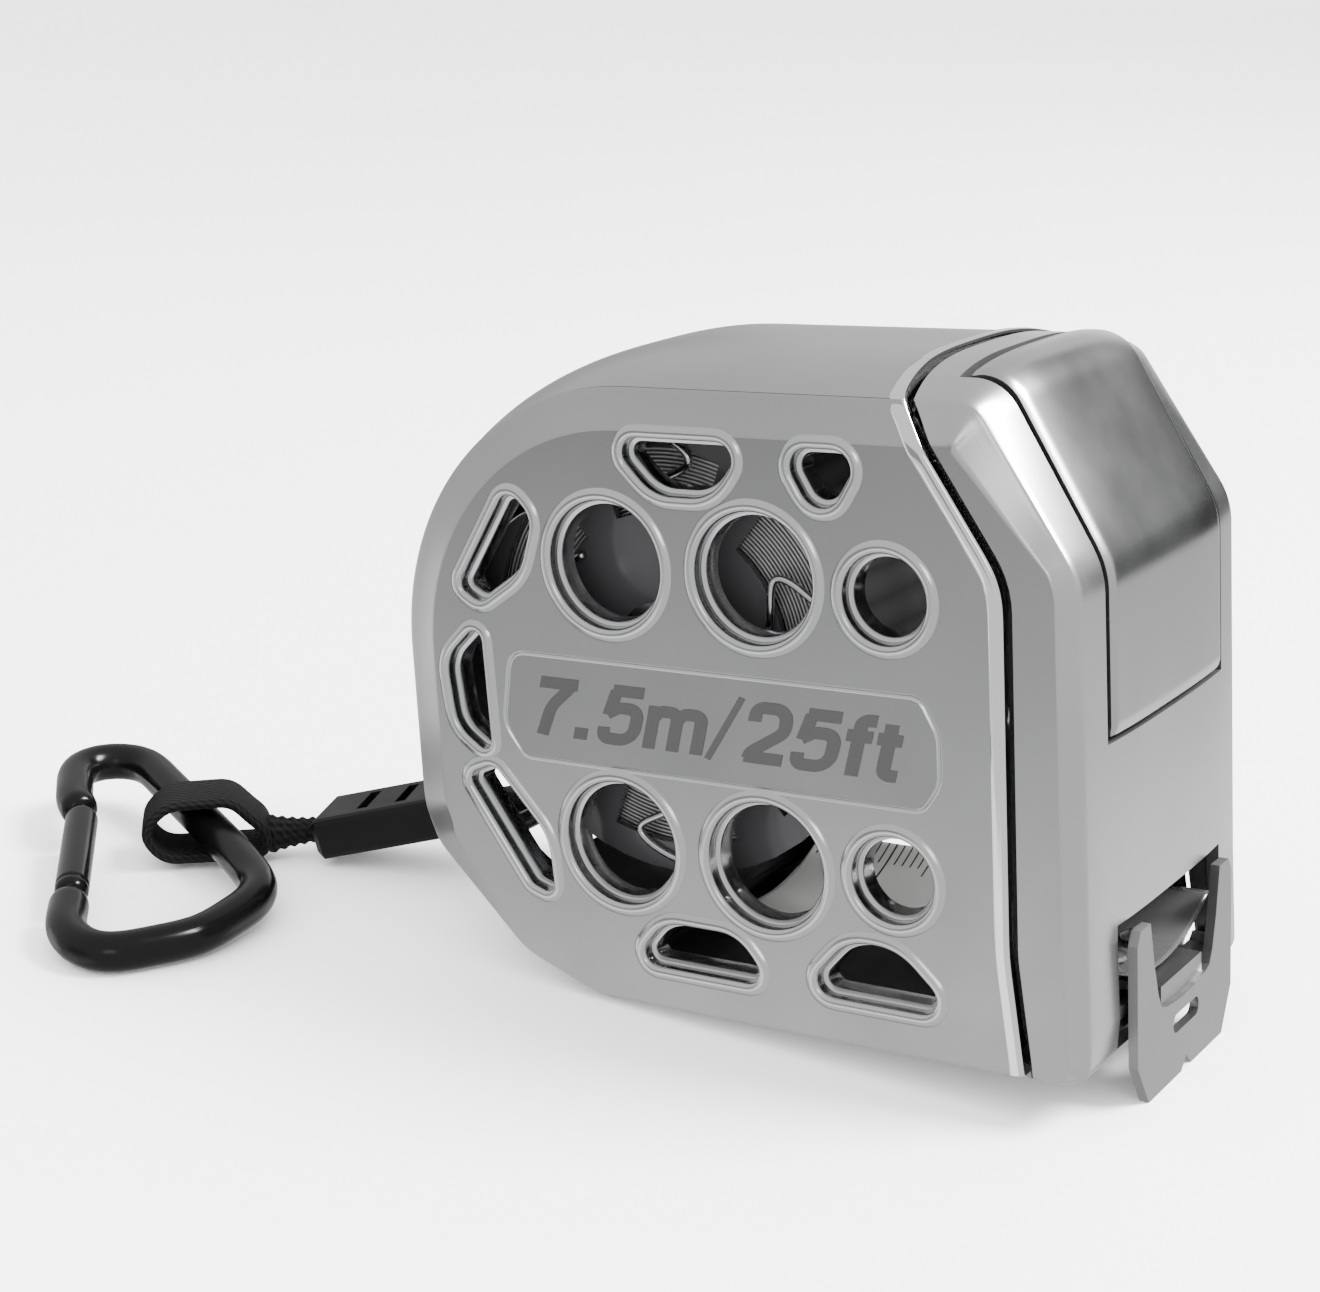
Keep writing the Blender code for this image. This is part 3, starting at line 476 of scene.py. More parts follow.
def leant(points):
    """Points of the level drawing, in millimetres, as places on the leaning case, in metres."""
    return points * MM @ LEAN_TURN + LEAN_MOVE


def surface(name, grid, mat, body, around=False, looped=False, keep=None, level=True, sharp=38.0):
    """Quad surface over grid[i, j] (millimetres); around closes j, looped closes i.
    keep is a mask of the cells that are kept, and level says that the grid is in the case's level
    drawing. The uv is the distance along i and j in metres."""
    ni, nj = grid.shape[:2]
    points = grid.reshape(-1, 3)
    verts = leant(points) if level else points * MM
    ci, cj = ni - (not looped), nj - (not around)
    i, j = np.meshgrid(np.arange(ci), np.arange(cj), indexing="ij")
    i2, j2 = (i + 1) % ni, (j + 1) % nj
    quads = np.stack([i * nj + j, i2 * nj + j, i2 * nj + j2, i * nj + j2], axis=-1)
    mask = np.ones((ci, cj), bool) if keep is None else keep
    mesh = bpy.data.meshes.new(name)
    mesh.from_pydata(verts.tolist(), [], quads[mask].tolist())
    along = np.concatenate([[0.0], np.cumsum(np.linalg.norm(np.diff(grid[:, 0], axis=0), axis=1))])
    over = np.concatenate([[0.0], np.cumsum(np.linalg.norm(np.diff(grid[0], axis=0), axis=1))])
    ahead = along[i] + LAST_ROW
    ahead[:-1] = along[i[:-1] + 1]
    beside = over[np.minimum(j + 1, nj - 1)]
    u = np.stack([along[i], ahead, ahead, along[i]], -1)
    v = np.stack([over[j], over[j], beside, beside], -1)
    uv = np.stack([u[mask], v[mask]], -1) * MM
    mesh.uv_layers.new(name="uv").data.foreach_set("uv", uv.reshape(-1))
    mesh.polygons.foreach_set("use_smooth", [True] * len(mesh.polygons))
    mesh.set_sharp_from_angle(angle=math.radians(sharp))
    mesh.materials.append(mat)
    return piece(name, mesh, body)


def piece(name, mesh, body):
    """Finished piece that moves with a body of the model."""
    obj = bpy.data.objects.new(name, mesh)
    bpy.context.scene.collection.objects.link(obj)
    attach(obj, body)
    return obj


def harden(obj, thickness=0.0, bevel=0.0, segments=2, angle=40.0, inner=None):
    """Give a sheet its thickness inwards, soften its edges and set the look of its inner side and rim."""
    if thickness:
        mod = obj.modifiers.new("Solidify", "SOLIDIFY")
        mod.thickness = thickness * MM
        mod.offset = -1.0
        # The inner side and the cut rim take the inner finish; where that is dark matte it is painted shade
        # of the case's inside.
        if inner is not None:
            obj.data.materials.append(inner)
            mod.material_offset = 1
            mod.material_offset_rim = 1
    if bevel:
        mod = obj.modifiers.new("Bevel", "BEVEL")
        mod.width = bevel * MM
        mod.segments = segments
        mod.limit_method = "ANGLE"
        mod.angle_limit = math.radians(angle)
        mod.harden_normals = True
    return obj


def inside(points, outlines):
    """Even-odd test of each point against all outlines together."""
    hit = np.zeros(len(points), int)
    for path in outlines:
        ax, az = path[:, 0][None], path[:, 1][None]
        bx, bz = np.roll(path, -1, 0)[:, 0][None], np.roll(path, -1, 0)[:, 1][None]
        px, pz = points[:, :1], points[:, 1:]
        cross = (az > pz) != (bz > pz)
        at = ax + (pz - az) * (bx - ax) / np.where(cross, bz - az, 1.0)
        hit += np.sum(cross & (px < at), axis=1)
    return hit % 2 == 1


def filled(name, outlines, y, mat, body, flip):
    """Flat face at y across the case, bounded by the first outline and pierced by the others.
    It faces -y, or +y where flip is set."""
    points = np.vstack(outlines)
    edges, start = [], 0
    for path in outlines:
        count = len(path)
        edges += [(start + k, start + (k + 1) % count) for k in range(count)]
        start += count
    corners, _, faces = delaunay_2d_cdt([Vector(p) for p in points.tolist()], edges, [], 0, 1e-5)[:3]
    corners = np.array([tuple(corner) for corner in corners])
    faces = np.array([tuple(face) for face in faces])
    faces = faces[inside(corners[faces].mean(axis=1), outlines)]
    if not flip:
        faces = faces[:, ::-1]
    mesh = bpy.data.meshes.new(name)
    mesh.from_pydata(leant(at_y(corners, y)).tolist(), [], faces.tolist())
    mesh.materials.append(mat)
    return piece(name, mesh, body)


def carried(point, side, rise, profile):
    """Grid of a profile (offset along side, offset along rise) carried along a line of points."""
    return point[:, None] + side[:, None] * profile[None, :, :1] + rise[:, None] * profile[None, :, 1:2]


def headings(line):
    """Unit vectors along a line in space."""
    tangent = np.gradient(line, axis=0)
    return tangent / np.linalg.norm(tangent, axis=1)[:, None]


def tube(name, line, radius, mat, body, up, count=20, level=False):
    """Round bar: line + radius * (side cos a + rise sin a), where side is square to the line and to
    up, and radius may vary along it."""
    tangent = headings(line)
    side = np.cross(tangent, np.asarray(up, float))
    side /= np.linalg.norm(side, axis=1)[:, None]
    rise = np.cross(side, tangent)
    a = np.linspace(0.0, 2.0 * math.pi, count, endpoint=False)[None, :, None]
    r = np.broadcast_to(np.asarray(radius, float), (len(line),))[:, None, None]
    grid = line[:, None] + r * (side[:, None] * np.cos(a) + rise[:, None] * np.sin(a))
    return surface(name, grid, mat, body, around=True, level=level)


def caps(obj, count):
    """Close both ends of a tube of count sides."""
    bm = bmesh.new()
    bm.from_mesh(obj.data)
    bmesh.ops.holes_fill(bm, edges=[e for e in bm.edges if e.is_boundary], sides=count)
    bm.to_mesh(obj.data)
    bm.free()


# ---- case --------------------------------------------------------------------------------

def vent_outlines():
    """The round vents, then the shaped ones."""
    rounds = [circle(*vent) for vent in ROUND_VENTS]
    return rounds + [resample(rounded(slot), 72, closed=True) for slot in SLOTS]


def turned(outline, profile, side):
    """Profile turned round an outline: outline + normal * wide, y = side * (HALF + proud), for each
    (wide, proud) of the profile."""
    out = outward(outline)
    rings = [at_y(outline + out * wide, side * (HALF + proud)) for wide, proud in profile]
    return np.stack(rings, axis=1)


def cover(side):
    """Side cover: a pierced flat face, a bevel band round it and a turned lip in each vent.
    Band point = edge + share * step, y = side * (HALF - depth), for each (depth, share) of BAND."""
    tag = "left" if side < 0 else "right"
    path = shell_path()
    seam = resample(seam_path(), 60)[1:-1]
    seam = seam[seam[:, 1] < SEAM_TRIM]
    edge = np.vstack([path, seam])
    step = np.vstack([shell_bevel(path), np.zeros_like(seam)])
    label = resample(rounded(LABEL), 140, closed=True)
    holes = vent_outlines()
    outer = [edge + step] + [hole + outward(hole) * LIP_SEAT for hole in holes]
    outer.append(label + outward(label) * GROOVE_HALF)
    if side > 0:
        outer += [circle(x, z, SCREW_HOLE, 40) for x, z in POSTS]
    face = filled("cover_face_" + tag, outer, side * HALF, PLATE, "case", side > 0)
    grid = np.stack([at_y(edge + share * step, side * (HALF - depth)) for depth, share in BAND])
    band = surface("cover_band_" + tag, grid, PLATE, "case", around=True)
    for k, hole in enumerate(holes):
        name = "vent_lip_%s_%d" % (tag, k + 1)
        lip = surface(name, turned(hole, LIP, side), LIP_METAL, "case", looped=True)
    groove = surface("label_groove_" + tag, turned(label, GROOVE, side), LIP_METAL, "case", looped=True)
    inner = [label - outward(label) * GROOVE_HALF]
    plate = filled("label_face_" + tag, inner, side * HALF, LABEL_METAL, "case", side > 0)
    # The cover's inner face is a dark matte sheet: painted shade of the closed case's inside.
    backing = [edge + step * 0.9] + [hole + outward(hole) * 0.02 for hole in holes]
    liner = filled("cover_liner_" + tag, backing, side * (HALF - SKIN), DARK_MATTE, "case", side < 0)
    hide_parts("cover_" + tag)
    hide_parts("label_" + tag)


def band():
    """Wrap-round wall: outer path + normal * crown * swell(y), carried across y, with the strap's
    slot left out of the back. The last stretch is sheared so that it ends on the seam."""
    path = shell_path(200)
    n = normals(path, closed=False)
    n[0], n[-1] = (0.0, -1.0), (0.0, 1.0)
    lift = CROWN * np.clip(path[:, 1] / 12.0, 0.0, 1.0)
    y = CREASE * np.sin(np.linspace(-math.pi / 2, math.pi / 2, 61))
    out = path[:, None] + n[:, None] * (lift[:, None] * swell(y)[None, :])[:, :, None]
    run = np.arange(len(path))[::-1, None] * np.linalg.norm(path[1] - path[0])
    out[..., 0] -= SEAM_SLOPE * (out[..., 1] - HEIGHT) * np.clip(1.0 - run / SHEAR_FADE, 0.0, 1.0)
    grid = np.stack([out[..., 0], np.broadcast_to(y, out.shape[:2]), out[..., 1]], axis=-1)
    cells = grid[:-1, :-1]
    slot = (cells[..., 2] > STRAP_LOW) & (cells[..., 2] < STRAP_HIGH) & (cells[..., 0] < STRAP_X)
    slot &= np.abs(cells[..., 1]) < STRAP_HALF
    wall = surface("wrap_wall", grid, PLATE, "case", keep=~slot)
    # The wall's inner side and rim are dark matte: painted shade of the case's inside.
    harden(wall, WALL, inner=DARK_MATTE)
    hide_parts("case_band")


def seam_rim():
    """Polished rim of the rear shell: a small rounded profile carried round the seam's edge."""
    line = resample(seam_path(), 70)
    side = line[(line[:, 1] < 62.3) & (line[:, 1] > 0.9)]
    y = np.linspace(-CREASE, CREASE, 61)
    top = np.stack([SEAM[0][0] - SEAM_SLOPE * CROWN * swell(y), y, HEIGHT + CROWN * swell(y)], 1)
    ring = np.vstack([at_y(side, -HALF)[::-1], top, at_y(side, HALF)])
    ring = softened(resample(ring, 320), 5)
    tangent = headings(ring)
    rear = np.array([-1.0, 0.0, 0.0])
    back = rear - tangent * (tangent @ rear)[:, None]
    back /= np.linalg.norm(back, axis=1)[:, None]
    rise = np.cross(tangent, back)
    rise *= np.sign(np.sum(rise * (ring - MIDDLE), axis=1))[:, None]
    rim = surface("seam_rim", carried(ring, back, rise, RIM), POLISH, "case")


def front_base():
    """Base line of the front body from the seam's head over the slant and down to its foot, with
    its normals, its distance run, and the runs of the edges of the button window and the mouth,
    where it has points."""
    line = rounded(FRONT, closed=False, steps=14)
    run = np.concatenate([[0.0], np.cumsum(np.linalg.norm(np.diff(line, axis=0), axis=1))])
    down = line[:, 0] > 37.0
    heights = (WINDOW_FOOT_Z, MOUTH_HEAD_Z, MOUTH_FOOT_Z)
    marks = [np.interp(-z, -line[down, 1], run[down]) for z in heights]
    flat = line[:, 1] > HEIGHT - 0.2
    marks.append(np.interp(WINDOW_REAR_X, line[flat, 0], run[flat]))
    s = np.unique(np.concatenate([np.linspace(0.0, run[-1], 190), marks]))
    base = np.stack([np.interp(s, run, line[:, 0]), np.interp(s, run, line[:, 1])], 1)
    n = normals(base, closed=False)
    n[0], n[-1] = (0.0, 1.0), (0.0, -1.0)
    return base, n, s, sorted(marks)


def front_shift(base):
    """Crown and bevel depth along the front body: both grow over its upper part."""
    upper = np.clip((base[:, 1] - 52.0) / 14.5, 0.0, 1.0)
    crown = (1.0 + (CROWN - 1.0) * upper) * np.clip(base[:, 1] / 5.0, 0.0, 1.0)
    depth = BEVEL_FRONT + (BEVEL_TOP - BEVEL_FRONT) * upper
    depth = np.where(base[:, 1] < 1.0, BEVEL_BOTTOM, depth)
    return crown, depth


def front_body():
    """Front body's skin: base + normal * crown * swell(y) between the creases, and
    base - normal * depth * share over the bevel to the flat side, with its two openings left out."""
    base, n, s, (rear, foot, head, sill) = front_base()
    crown, depth = front_shift(base)
    edges = (-WINDOW_HALF, -MOUTH_HALF, MOUTH_HALF, WINDOW_HALF)
    inner = np.unique(np.concatenate([np.linspace(-CREASE, CREASE, 57), edges]))
    past, share = FRONT_BAND.T
    y = np.concatenate([-(CREASE + past), inner, (CREASE + past)[::-1]])
    share = np.concatenate([share, np.zeros(len(inner)), share[::-1]])
    soft = np.exp(-((s[:, None] - s[None, :]) / BEND_BLUR) ** 2) @ n
    soft /= np.linalg.norm(soft, axis=1)[:, None]
    soft = n + (soft - n) * np.clip(s / BEND_START, 0.0, 1.0)[:, None]
    rise = crown[:, None] * np.clip(swell(y), 0.0, 1.0)[None, :]
    drop = depth[:, None] * share[None, :]
    lift = rise - drop
    out = base[:, None] + n[:, None] * rise[:, :, None] - soft[:, None] * drop[:, :, None]
    out[..., 0] -= SEAM_SLOPE * lift * np.clip(1.0 - s[:, None] / SHEAR_FADE, 0.0, 1.0)
    grid = np.stack([out[..., 0], np.broadcast_to(y, out.shape[:2]), out[..., 1]], axis=-1)
    along = 0.5 * (s[:-1] + s[1:])[:, None]
    across = np.abs(0.5 * (y[:-1] + y[1:]))[None, :]
    window = (along > rear) & (along < foot) & (across < WINDOW_HALF)
    mouth = (along > head) & (along < sill) & (across < MOUTH_HALF)
    skin = surface("front_skin", grid, PLATE_FRONT, "case", keep=~(window | mouth))
    # The skin's inner side and the rims of its openings are dark matte: painted shade of the case's inside.
    harden(skin, SKIN, 0.16, inner=DARK_MATTE)
    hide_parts("front_housing")
    flat = out[:, 0]
    line = resample(seam_path(1.0), 60)[::-1]
    line = line[(line[:, 1] > flat[-1, 1] + 0.3) & (line[:, 1] < flat[0, 1] - 0.5)]
    for side, tag in ((-1.0, "left"), (1.0, "right")):
        cheek = filled("front_cheek_" + tag, [np.vstack([flat, line])], side * HALF, PLATE, "case", side > 0)


def button():
    """Lock button: the front body's surface lifted BUTTON_PROUD inside the window, eased at its edges."""
    base, n, s, (rear, foot, _, _) = front_base()
    crown, _ = front_shift(base)
    run = (s > rear + 0.3) & (s < foot - 0.6)
    base, n, crown, s = base[run], n[run], crown[run], s[run]
    y = BUTTON_HALF * np.sin(np.linspace(-math.pi / 2, math.pi / 2, 49))
    near_side = np.clip((BUTTON_HALF - np.abs(y)) / BUTTON_EASE, 0.0, 1.0)
    near_end = np.clip(np.minimum(s - s[0], s[-1] - s) / BUTTON_EASE, 0.0, 1.0)
    soft = 0.3 * ((1.0 - near_side[None, :]) ** 2 + (1.0 - near_end[:, None]) ** 2)
    lift = crown[:, None] * swell(y)[None, :] + BUTTON_PROUD - np.minimum(soft, 0.4)
    out = base[:, None] + n[:, None] * lift[:, :, None]
    grid = np.stack([out[..., 0], np.broadcast_to(y, out.shape[:2]), out[..., 1]], axis=-1)
    cap = surface("button_cap", grid, BUTTON_METAL, "button")
    # The button's inner side and rim are dark matte: painted shade under the button.
    harden(cap, SKIN, 0.12, inner=DARK_MATTE)
    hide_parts("lock_button")


# Stroke lettering: width of each character, and its strokes as open outlines, in cap heights.
GLYPHS = {
    "7": (0.66, (((0.03, 0.91, 0), (0.66, 0.91, 0)), ((0.57, 0.9, 0), (0.27, 0.5, 0.5), (0.2, 0.0, 0)))),
    ".": (0.3, (((0.1, 0.0, 0), (0.1, 0.2, 0)),)),
    "5": (0.66, (((0.14, 0.91, 0), (0.64, 0.91, 0)), ((0.2, 0.9, 0), (0.13, 0.48, 0)),
                 ((0.11, 0.5, 0), (0.28, 0.62, 0.1), (0.6, 0.62, 0.24), (0.58, 0.08, 0.26), (0.1, 0.08, 0.24),
                  (0.09, 0.27, 0)))),
    "m": (1.02, (((0.12, 0.0, 0), (0.12, 0.73, 0)),
                 ((0.12, 0.5, 0), (0.2, 0.65, 0.12), (0.5, 0.65, 0.13), (0.5, 0.0, 0)),
                 ((0.5, 0.5, 0), (0.58, 0.65, 0.12), (0.88, 0.65, 0.13), (0.88, 0.0, 0)))),
    "/": (0.42, (((-0.02, -0.04, 0), (0.34, 1.04, 0)),)),
    "2": (0.66, (((0.1, 0.68, 0), (0.1, 0.92, 0.2), (0.56, 0.92, 0.22), (0.58, 0.55, 0.2), (0.12, 0.17, 0.2),
                  (0.1, 0.06, 0)), ((0.04, 0.09, 0), (0.62, 0.09, 0)))),
    "f": (0.38, (((0.2, 0.0, 0), (0.2, 0.92, 0.16), (0.42, 0.92, 0)), ((0.02, 0.65, 0), (0.4, 0.65, 0)))),
    "t": (0.42, (((0.19, 0.9, 0), (0.19, 0.08, 0.12), (0.4, 0.08, 0)), ((0.02, 0.65, 0), (0.38, 0.65, 0)))),
}
STROKE_WIDTH = {"/": 0.11, ".": 0.22}


def length_marking(text, cap=6.4, x=-23.6, z=29.3, y=-HALF - 0.03, gain=1.19, slant=0.22):
    """Length of the tape on the left label: every stroke is a flat ribbon of points each side of its
    centre line, in cap heights, leant over by slant, stretched by gain and laid just proud of y.
    Later strokes of a character lie a hair above the first, so that none shares a plane."""
    points, quads, pen, count = [], [], 0.0, 40
    rung = 2 * np.arange(count - 1)[:, None] + (0, 1, 3, 2)
    for letter in text:
        width, strokes = GLYPHS[letter]
        for k, stroke in enumerate(strokes):
            line = resample(rounded(stroke, closed=False, steps=10), count)
            side = normals(line, closed=False) * STROKE_WIDTH.get(letter, 0.2) / 2
            both = np.stack([line - side, line + side], axis=1).reshape(-1, 2) + (pen, 0.0)
            both[:, 0] = (both[:, 0] + slant * both[:, 1]) * gain
            quads.append(rung + 2 * count * len(points))
            points.append(at_y(both * cap + (x, z), y - 0.004 * k))
        pen += width + 0.07
    mesh = bpy.data.meshes.new("length_marking")
    mesh.from_pydata(leant(np.vstack(points)).tolist(), [], np.vstack(quads).tolist())
    mesh.materials.append(INK)
    piece("length_marking", mesh, "case")


def refined(node, mat, body, width, segments):
    """Copy of a model node with its edges softened by a bevel of this width."""
    mesh = NODES[node].data.copy()
    mesh.transform(NODES[node].matrix_world)
    mesh.materials.clear()
    mesh.materials.append(mat)
    for face in mesh.polygons:
        face.material_index = 0
    obj = harden(piece(node + "_fine", mesh, body), bevel=width, segments=segments, angle=32.0)
    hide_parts(node)


# ---- blade, reel and hook ------------------------------------------------------------------

def blade():
    """Blade strip: z = BLADE_LOW + BLADE_RISE * (y / BLADE_HALF) squared, carried along x."""
    x = np.linspace(BLADE_REAR_X, BLADE_TIP_X, 95)
    y = np.linspace(-BLADE_HALF, BLADE_HALF, 41)
    x, y = np.meshgrid(x, y, indexing="ij")
    grid = np.stack([x, y, BLADE_LOW + BLADE_RISE * (y / BLADE_HALF) ** 2], axis=-1)
    strip = surface("blade_face", grid, BLADE_INK, "blade")
    harden(strip, 0.25)
    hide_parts("blade_strip")


def ink(name):
    """White enamel with a millimetre scale on both edges: ticks where the distance along the
    strip, in millimetres, is near a whole number, longer at each half centimetre and centimetre.
    The stretch nearest the tip, past 33 mm along the strip, is painted near black and glossy: painted shade
    and painted reflection of the case's dark inside, where the strip lies in the mouth."""
    look = Look(name, (0.78, 0.78, 0.75), 0.0, 0.32, Coat_Weight=0.4, Coat_Roughness=0.15)
    along, across, _ = look.uv().split()
    mm = along * 1000.0
    inset = BLADE_HALF - (across * 1000.0 - BLADE_HALF).abs()
    one = ((mm.frac() - 0.5).abs() > 0.4) * (inset < 2.2)
    five = (((mm / 5.0).frac() - 0.5).abs() > 0.48) * (inset < 3.4)
    ten = (((mm / 10.0).frac() - 0.5).abs() > 0.488) * (inset < 5.0)
    mark = (one + five + ten) > 0.5
    paint = look.blend(mark, (0.78, 0.78, 0.75, 1.0), (0.015, 0.015, 0.015, 1.0))
    # Painted shade and painted reflection: past 33 mm the white print gives way to near black and a lower
    # roughness.
    painted_shade_tip = mm > 33.0
    look.put("Base Color", look.blend(painted_shade_tip, paint, (0.05, 0.05, 0.05, 1.0)))
    look.put("Roughness", look.ramp(painted_shade_tip, 0.0, 1.0, 0.32, 0.14))
    return look.mat


def coil_paint(name):
    """Edge-on turns of the wound blade: rings a pitch apart round the arbor."""
    pitch = 0.42 * MM
    look = Look(name, (0.5, 0.5, 0.5), 0.3, 0.3)
    centre = LEAN @ (Vector((REEL_X, 0.0, REEL_Z)) * MM)
    x, _, z = look.place().split()
    dx, dz = x - centre.x, z - centre.z
    r = (dx * dx + dz * dz).math("SQRT")
    turn = ((r / pitch).frac() - 0.5).abs()
    look.bump(turn, 0.8, 0.0002)
    look.put("Base Color", look.blend(look.ramp(turn, 0.15, 0.5, 0.0, 1.0), (0.02, 0.02, 0.02, 1.0),
                                      (0.32, 0.32, 0.32, 1.0)))
    return look.mat


def reel_ribs():
    """Bright S-shaped ribs on both flanges: radius 13.4 to 23.6, bent by 0.2 rad out and back."""
    t = np.linspace(0.0, 1.0, 30)
    radius = 13.4 + 10.2 * t
    bend = 0.26 + 0.2 * np.sin(2.0 * math.pi * t) + 0.35 * t
    for tag, y in (("left", -14.35), ("right", 14.35)):
        for k in range(6):
            a = math.pi / 3.0 * k + bend
            line = at_y(np.stack([REEL_X + radius * np.cos(a), REEL_Z + radius * np.sin(a)], axis=1), y)
            name = "reel_rib_%s_%d" % (tag, k + 1)
            rib = tube(name, line, 0.42, LIP_METAL, "reel", (0.0, 1.0, 0.0), 12, level=True)
            caps(rib, 12)


# ---- tether ---------------------------------------------------------------------------------

def unit(v):
    """The vector scaled to length one."""
    return np.array(Vector(v).normalized())


def snap_axes():
    """Unit vectors of the snap hook: along it, across it in its own plane, and off that plane."""
    flat = Vector((math.cos(SNAP_HEADING), math.sin(SNAP_HEADING), 0.0))
    along = flat * math.cos(SNAP_LIFT) + Vector((0.0, 0.0, math.sin(SNAP_LIFT)))
    across = Vector((flat.y, -flat.x, 0.0))
    return np.array(along), np.array(across), np.array(along.cross(across))


def snap_point(line):
    """Points (along, across) in the snap hook's plane as places in the world, in millimetres."""
    along, across, _ = snap_axes()
    return np.array(SNAP_NEAR) + line[:, :1] * along + line[:, 1:2] * across


def snap_hook():
    """Snap hook: a bar of one radius bent round a loop, eased at its ends, and a thinner straight
    gate with a groove near its hinge and rounded ends."""
    corners = ((12.6, -8.5, 0.0), (5.0, -9.9, 6.5), (-2.0, -7.4, 6.5), (0.2, 4.6, 9.0), (9.0, 13.6, 9.0),
               (20.0, 11.6, 8.0), (50.2, 4.4, 5.0), (50.6, -4.0, 5.0), (38.6, -5.4, 4.0), (35.6, -4.6, 0.0))
    line = softened(resample(rounded(corners, closed=False, steps=14), 180), 9)
    normal = snap_axes()[2]
    step = np.arange(len(line))
    end = np.minimum(step, step[::-1]) / 3.0
    radius = BAR_RADIUS * np.sqrt(1.0 - np.clip(1.0 - end, 0.0, 1.0) ** 2 * 0.5)
    bar = tube("snap_bar", snap_point(line), radius, BLACK_METAL, "snap", normal, 28)
    caps(bar, 28)
    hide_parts("snap_body")
    gate_line = resample(np.array([(13.5, -8.3), (34.6, -4.85)]), 60)
    t = np.linspace(0.0, 1.0, 60)
    radius = np.full(60, GATE_RADIUS)
    radius[:4] *= (0.7, 0.86, 0.95, 0.99)
    radius[-4:] *= (0.99, 0.95, 0.86, 0.7)
    radius[(t > 0.07) & (t < 0.1)] *= 0.9
    gate = tube("gate_bar", snap_point(gate_line), radius, BLACK_METAL, "gate", normal, 24)
    caps(gate, 24)
    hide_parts("snap_gate")


def webbing(name, flat, frame_axes, half, thick, looped):
    """Woven strap: line flat (along, up) in the plane of frame_axes = (start, along, up, side),
    with a rounded flat profile carried along it. half and thick are half its width and thickness."""
    start, along, up, side = frame_axes
    n = normals(flat, closed=looped)
    upper = [(-half, 0.0), (-half + 0.15, thick * 0.8), (-half + 0.6, thick), (0.0, thick * 1.05),
             (half - 0.6, thick), (half - 0.15, thick * 0.8)]
    profile = np.array(upper + [(-wide, -high) for wide, high in upper])
    centre = start + flat[:, :1] * along + flat[:, 1:2] * up
    rise = n[:, :1] * along + n[:, 1:2] * up
    grid = carried(centre, np.broadcast_to(side, centre.shape), rise, profile)
    strap = surface(name, grid, WEB, "tether", around=True, looped=looped, level=False, sharp=60.0)
    return strap


def webbing_loop():
    """Loop of strap from the knot round the bar of the snap hook, in an upright plane."""
    run = unit((-0.75, -0.66, 0.0))
    corners = ((0.3, -1.2, 0.5), (0.3, 1.6, 0.6), (2.6, 3.7, 1.2), (4.3, 5.6, 1.5), (12.0, 5.3, 2.4),
               (15.6, 1.9, 2.4), (12.5, -1.5, 2.0))
    flat = softened(resample(rounded(corners), 90, closed=True), 7, closed=True)
    loop = webbing("webbing_loop", flat, (np.array(KNOT), run, UP, np.cross(UP, run)), 4.0, 0.62, True)
    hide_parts("strap_loop")


def webbing_link():
    """Short strap from the block to the anchor pin, wrapped once round the pin."""
    pin = np.array((LEAN @ (TETHER_PIN * MM)) / MM)
    start = np.array(BLOCK_NEAR)
    along = unit(pin - start)
    side = unit(np.cross(UP, along))
    up = np.cross(along, side)
    reach = float(np.linalg.norm(pin - start))
    turn = np.linspace(-2.35, 2.35, 40)
    wrap = np.stack([reach + 2.0 * np.cos(turn), 2.0 * np.sin(turn)], axis=1)
    line = resample(np.vstack([(0.1, -0.5), wrap, (0.1, 0.5)]), 120)
    link = webbing("webbing_link", line, (start, along, up, side), 3.0, 0.44, False)
    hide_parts("tether_link")


def knot():
    """Whipped end of the strap: a turned ferrule that swells towards the loop, with ridges round it
    and a domed end."""
    start, end = np.array(BLOCK_FAR), np.array(KNOT)
    axis = unit(end - start)
    length = float(np.linalg.norm(end - start))
    t = np.linspace(-0.5, length + 0.9, 64)
    grow = np.clip(t / length, 0.0, 1.0)
    radius = 1.45 + 0.95 * grow ** 2 + 0.12 * np.sin(t * 5.2)
    past = ((t - length + 0.6) / 1.52).clip(0.0, 1.0)
    radius = np.minimum(radius, 2.45 * np.sqrt(1.0 - past ** 2))
    whip = tube("strap_knot", start + t[:, None] * axis, radius, WEB, "tether", UP, 32)
    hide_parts("tether_knot")


# ---- build ----------------------------------------------------------------------------------

def floor():
    """Plain pale floor, which polished metal doesn't show."""
    mesh = bpy.data.meshes.new("floor")
    mesh.from_pydata([(-4, -4, 0), (4, -4, 0), (4, 6, 0), (-4, 6, 0)], [], [(0, 1, 2, 3)])
    look = Look("floor", (0.88, 0.88, 0.88), 0.0, 0.6)
    look.put("Roughness", look.ramp(look.noise(3.0), 0.3, 0.7, 0.55, 0.65))
    mesh.materials.append(look.mat)
    obj = bpy.data.objects.new("floor", mesh)
    bpy.context.scene.collection.objects.link(obj)
    obj.visible_glossy = False


def surroundings():
    """White world, dimmer where gloss reflects it."""
    world = bpy.data.worlds.new("world")
    world.use_nodes = True
    tree = world.node_tree
    back = tree.nodes["Background"]
    back.inputs["Color"].default_value = (1.0, 1.0, 1.0, 1.0)
    ray = tree.nodes.new("ShaderNodeLightPath")
    level = tree.nodes.new("ShaderNodeMapRange")
    level.inputs["To Min"].default_value = SKY
    level.inputs["To Max"].default_value = SKY_GLOSSY
    tree.links.new(ray.outputs["Is Glossy Ray"], level.inputs["Value"])
    tree.links.new(level.outputs["Result"], back.inputs["Strength"])
    bpy.context.scene.world = world


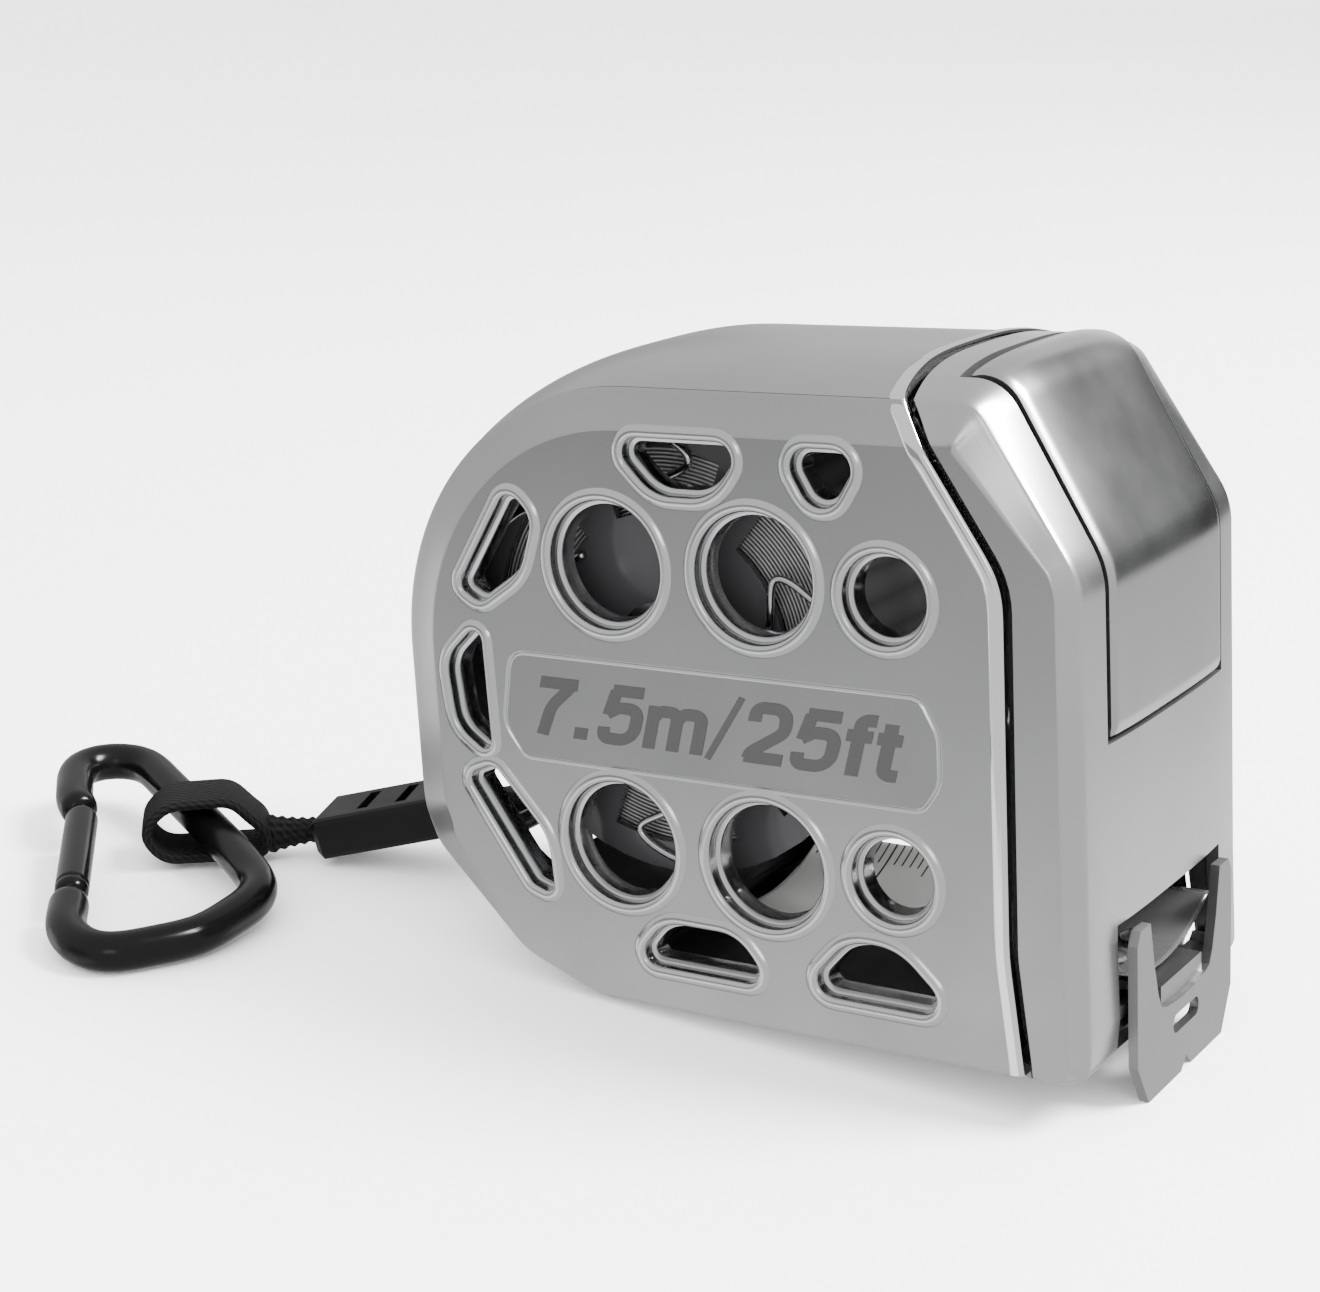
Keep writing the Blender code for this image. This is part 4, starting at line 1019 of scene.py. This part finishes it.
def lights():
    """One key light high over the mouth end and the right side, and the reflectors round the case."""
    area_light("key", (0.55, 0.3, 0.75), (0.0, 0.0, 0.03), (0.4, 0.4), KEY_POWER)
    for name, heading, rise, width, height, level in CARDS:
        a, e = math.radians(heading), math.radians(rise)
        place = CARD_AIM + Vector((math.cos(a) * math.cos(e), math.sin(a) * math.cos(e), math.sin(e)))
        card("card_" + name, place, CARD_AIM, (width, height), emitter("glow_" + name, level))


# Finishes, each made once.
PLATE = plated("plate", 0.47, 0.3)
PLATE_FRONT = plated("plate_front", 0.56, 0.27)
LIP_METAL = plated("lip_metal", 0.62, 0.2, 0.1)
POLISH = plated("polish", 0.9, 0.08, 0.05)
LABEL_METAL = plated("label_metal", 0.43, 0.38, 0.4)
BUTTON_METAL = plated("button_metal", 0.5, 0.24)
STEEL = plated("steel", 0.4, 0.3, 0.2)
HOOK_STEEL = plated("hook_steel", 0.29, 0.34, 0.4)
INK = plastic("ink", (0.03, 0.03, 0.03), 0.6, 0.1, 2600.0, 0.2)
DARK_GLOSS = plastic("dark_gloss", (0.03, 0.03, 0.032), 0.16, 0.05)
# Dark matte: on the inner sides and cut rims of the case's sheets it is painted shade, standing in for the
# dark inside of the closed case.
DARK_MATTE = plastic("dark_matte", (0.025, 0.025, 0.027), 0.5, 0.2)
BLACK_MOULD = plastic("black_mould", (0.003, 0.003, 0.003), 0.4, 0.3, 2600.0, 0.2)
RUBBER = plastic("rubber", (0.02, 0.02, 0.02), 0.75, 0.4)
BLACK_METAL = plastic("black_anodised", (0.002, 0.002, 0.002), 0.2, 0.1, 1800.0, 0.22)
WEB = woven("webbing")
BLADE_INK = ink("blade_print")
COIL = coil_paint("coil")


def dress(nodes, mat):
    """Finish on model nodes that stay as they are."""
    for name in nodes:
        obj = NODES[name]
        obj.data.materials.clear()
        obj.data.materials.append(mat)


def dress_all():
    """Finishes of the model's own nodes, and softened copies of four of them."""
    dress(("seam_liner", "blade_guide", "case_post_1", "case_post_2", "case_post_3"), DARK_MATTE)
    dress(("reel_hub",), DARK_GLOSS)
    refined("reel_flange_left", DARK_GLOSS, "reel", 0.32, 3)
    refined("reel_flange_right", DARK_GLOSS, "reel", 0.32, 3)
    dress(("mouth_bumper",), RUBBER)
    dress(("blade_coil",), COIL)
    dress(("reel_arbor", "arbor_clip_left", "arbor_clip_right", "power_spring", "button_pin", "tether_pin",
           "case_screw_1", "case_screw_2", "case_screw_3", "hook_rivet_left", "hook_rivet_right"), STEEL)
    refined("end_hook", HOOK_STEEL, "hook", 0.22, 3)
    refined("tether_block", BLACK_MOULD, "tether", 0.5, 4)


add_camera()
floor()
surroundings()
lights()
snap_hook()
webbing_loop()
webbing_link()
knot()
for side in (-1.0, 1.0):
    cover(side)
band()
seam_rim()
front_body()
button()
blade()
reel_ribs()
length_marking("7.5m/25ft")
dress_all()
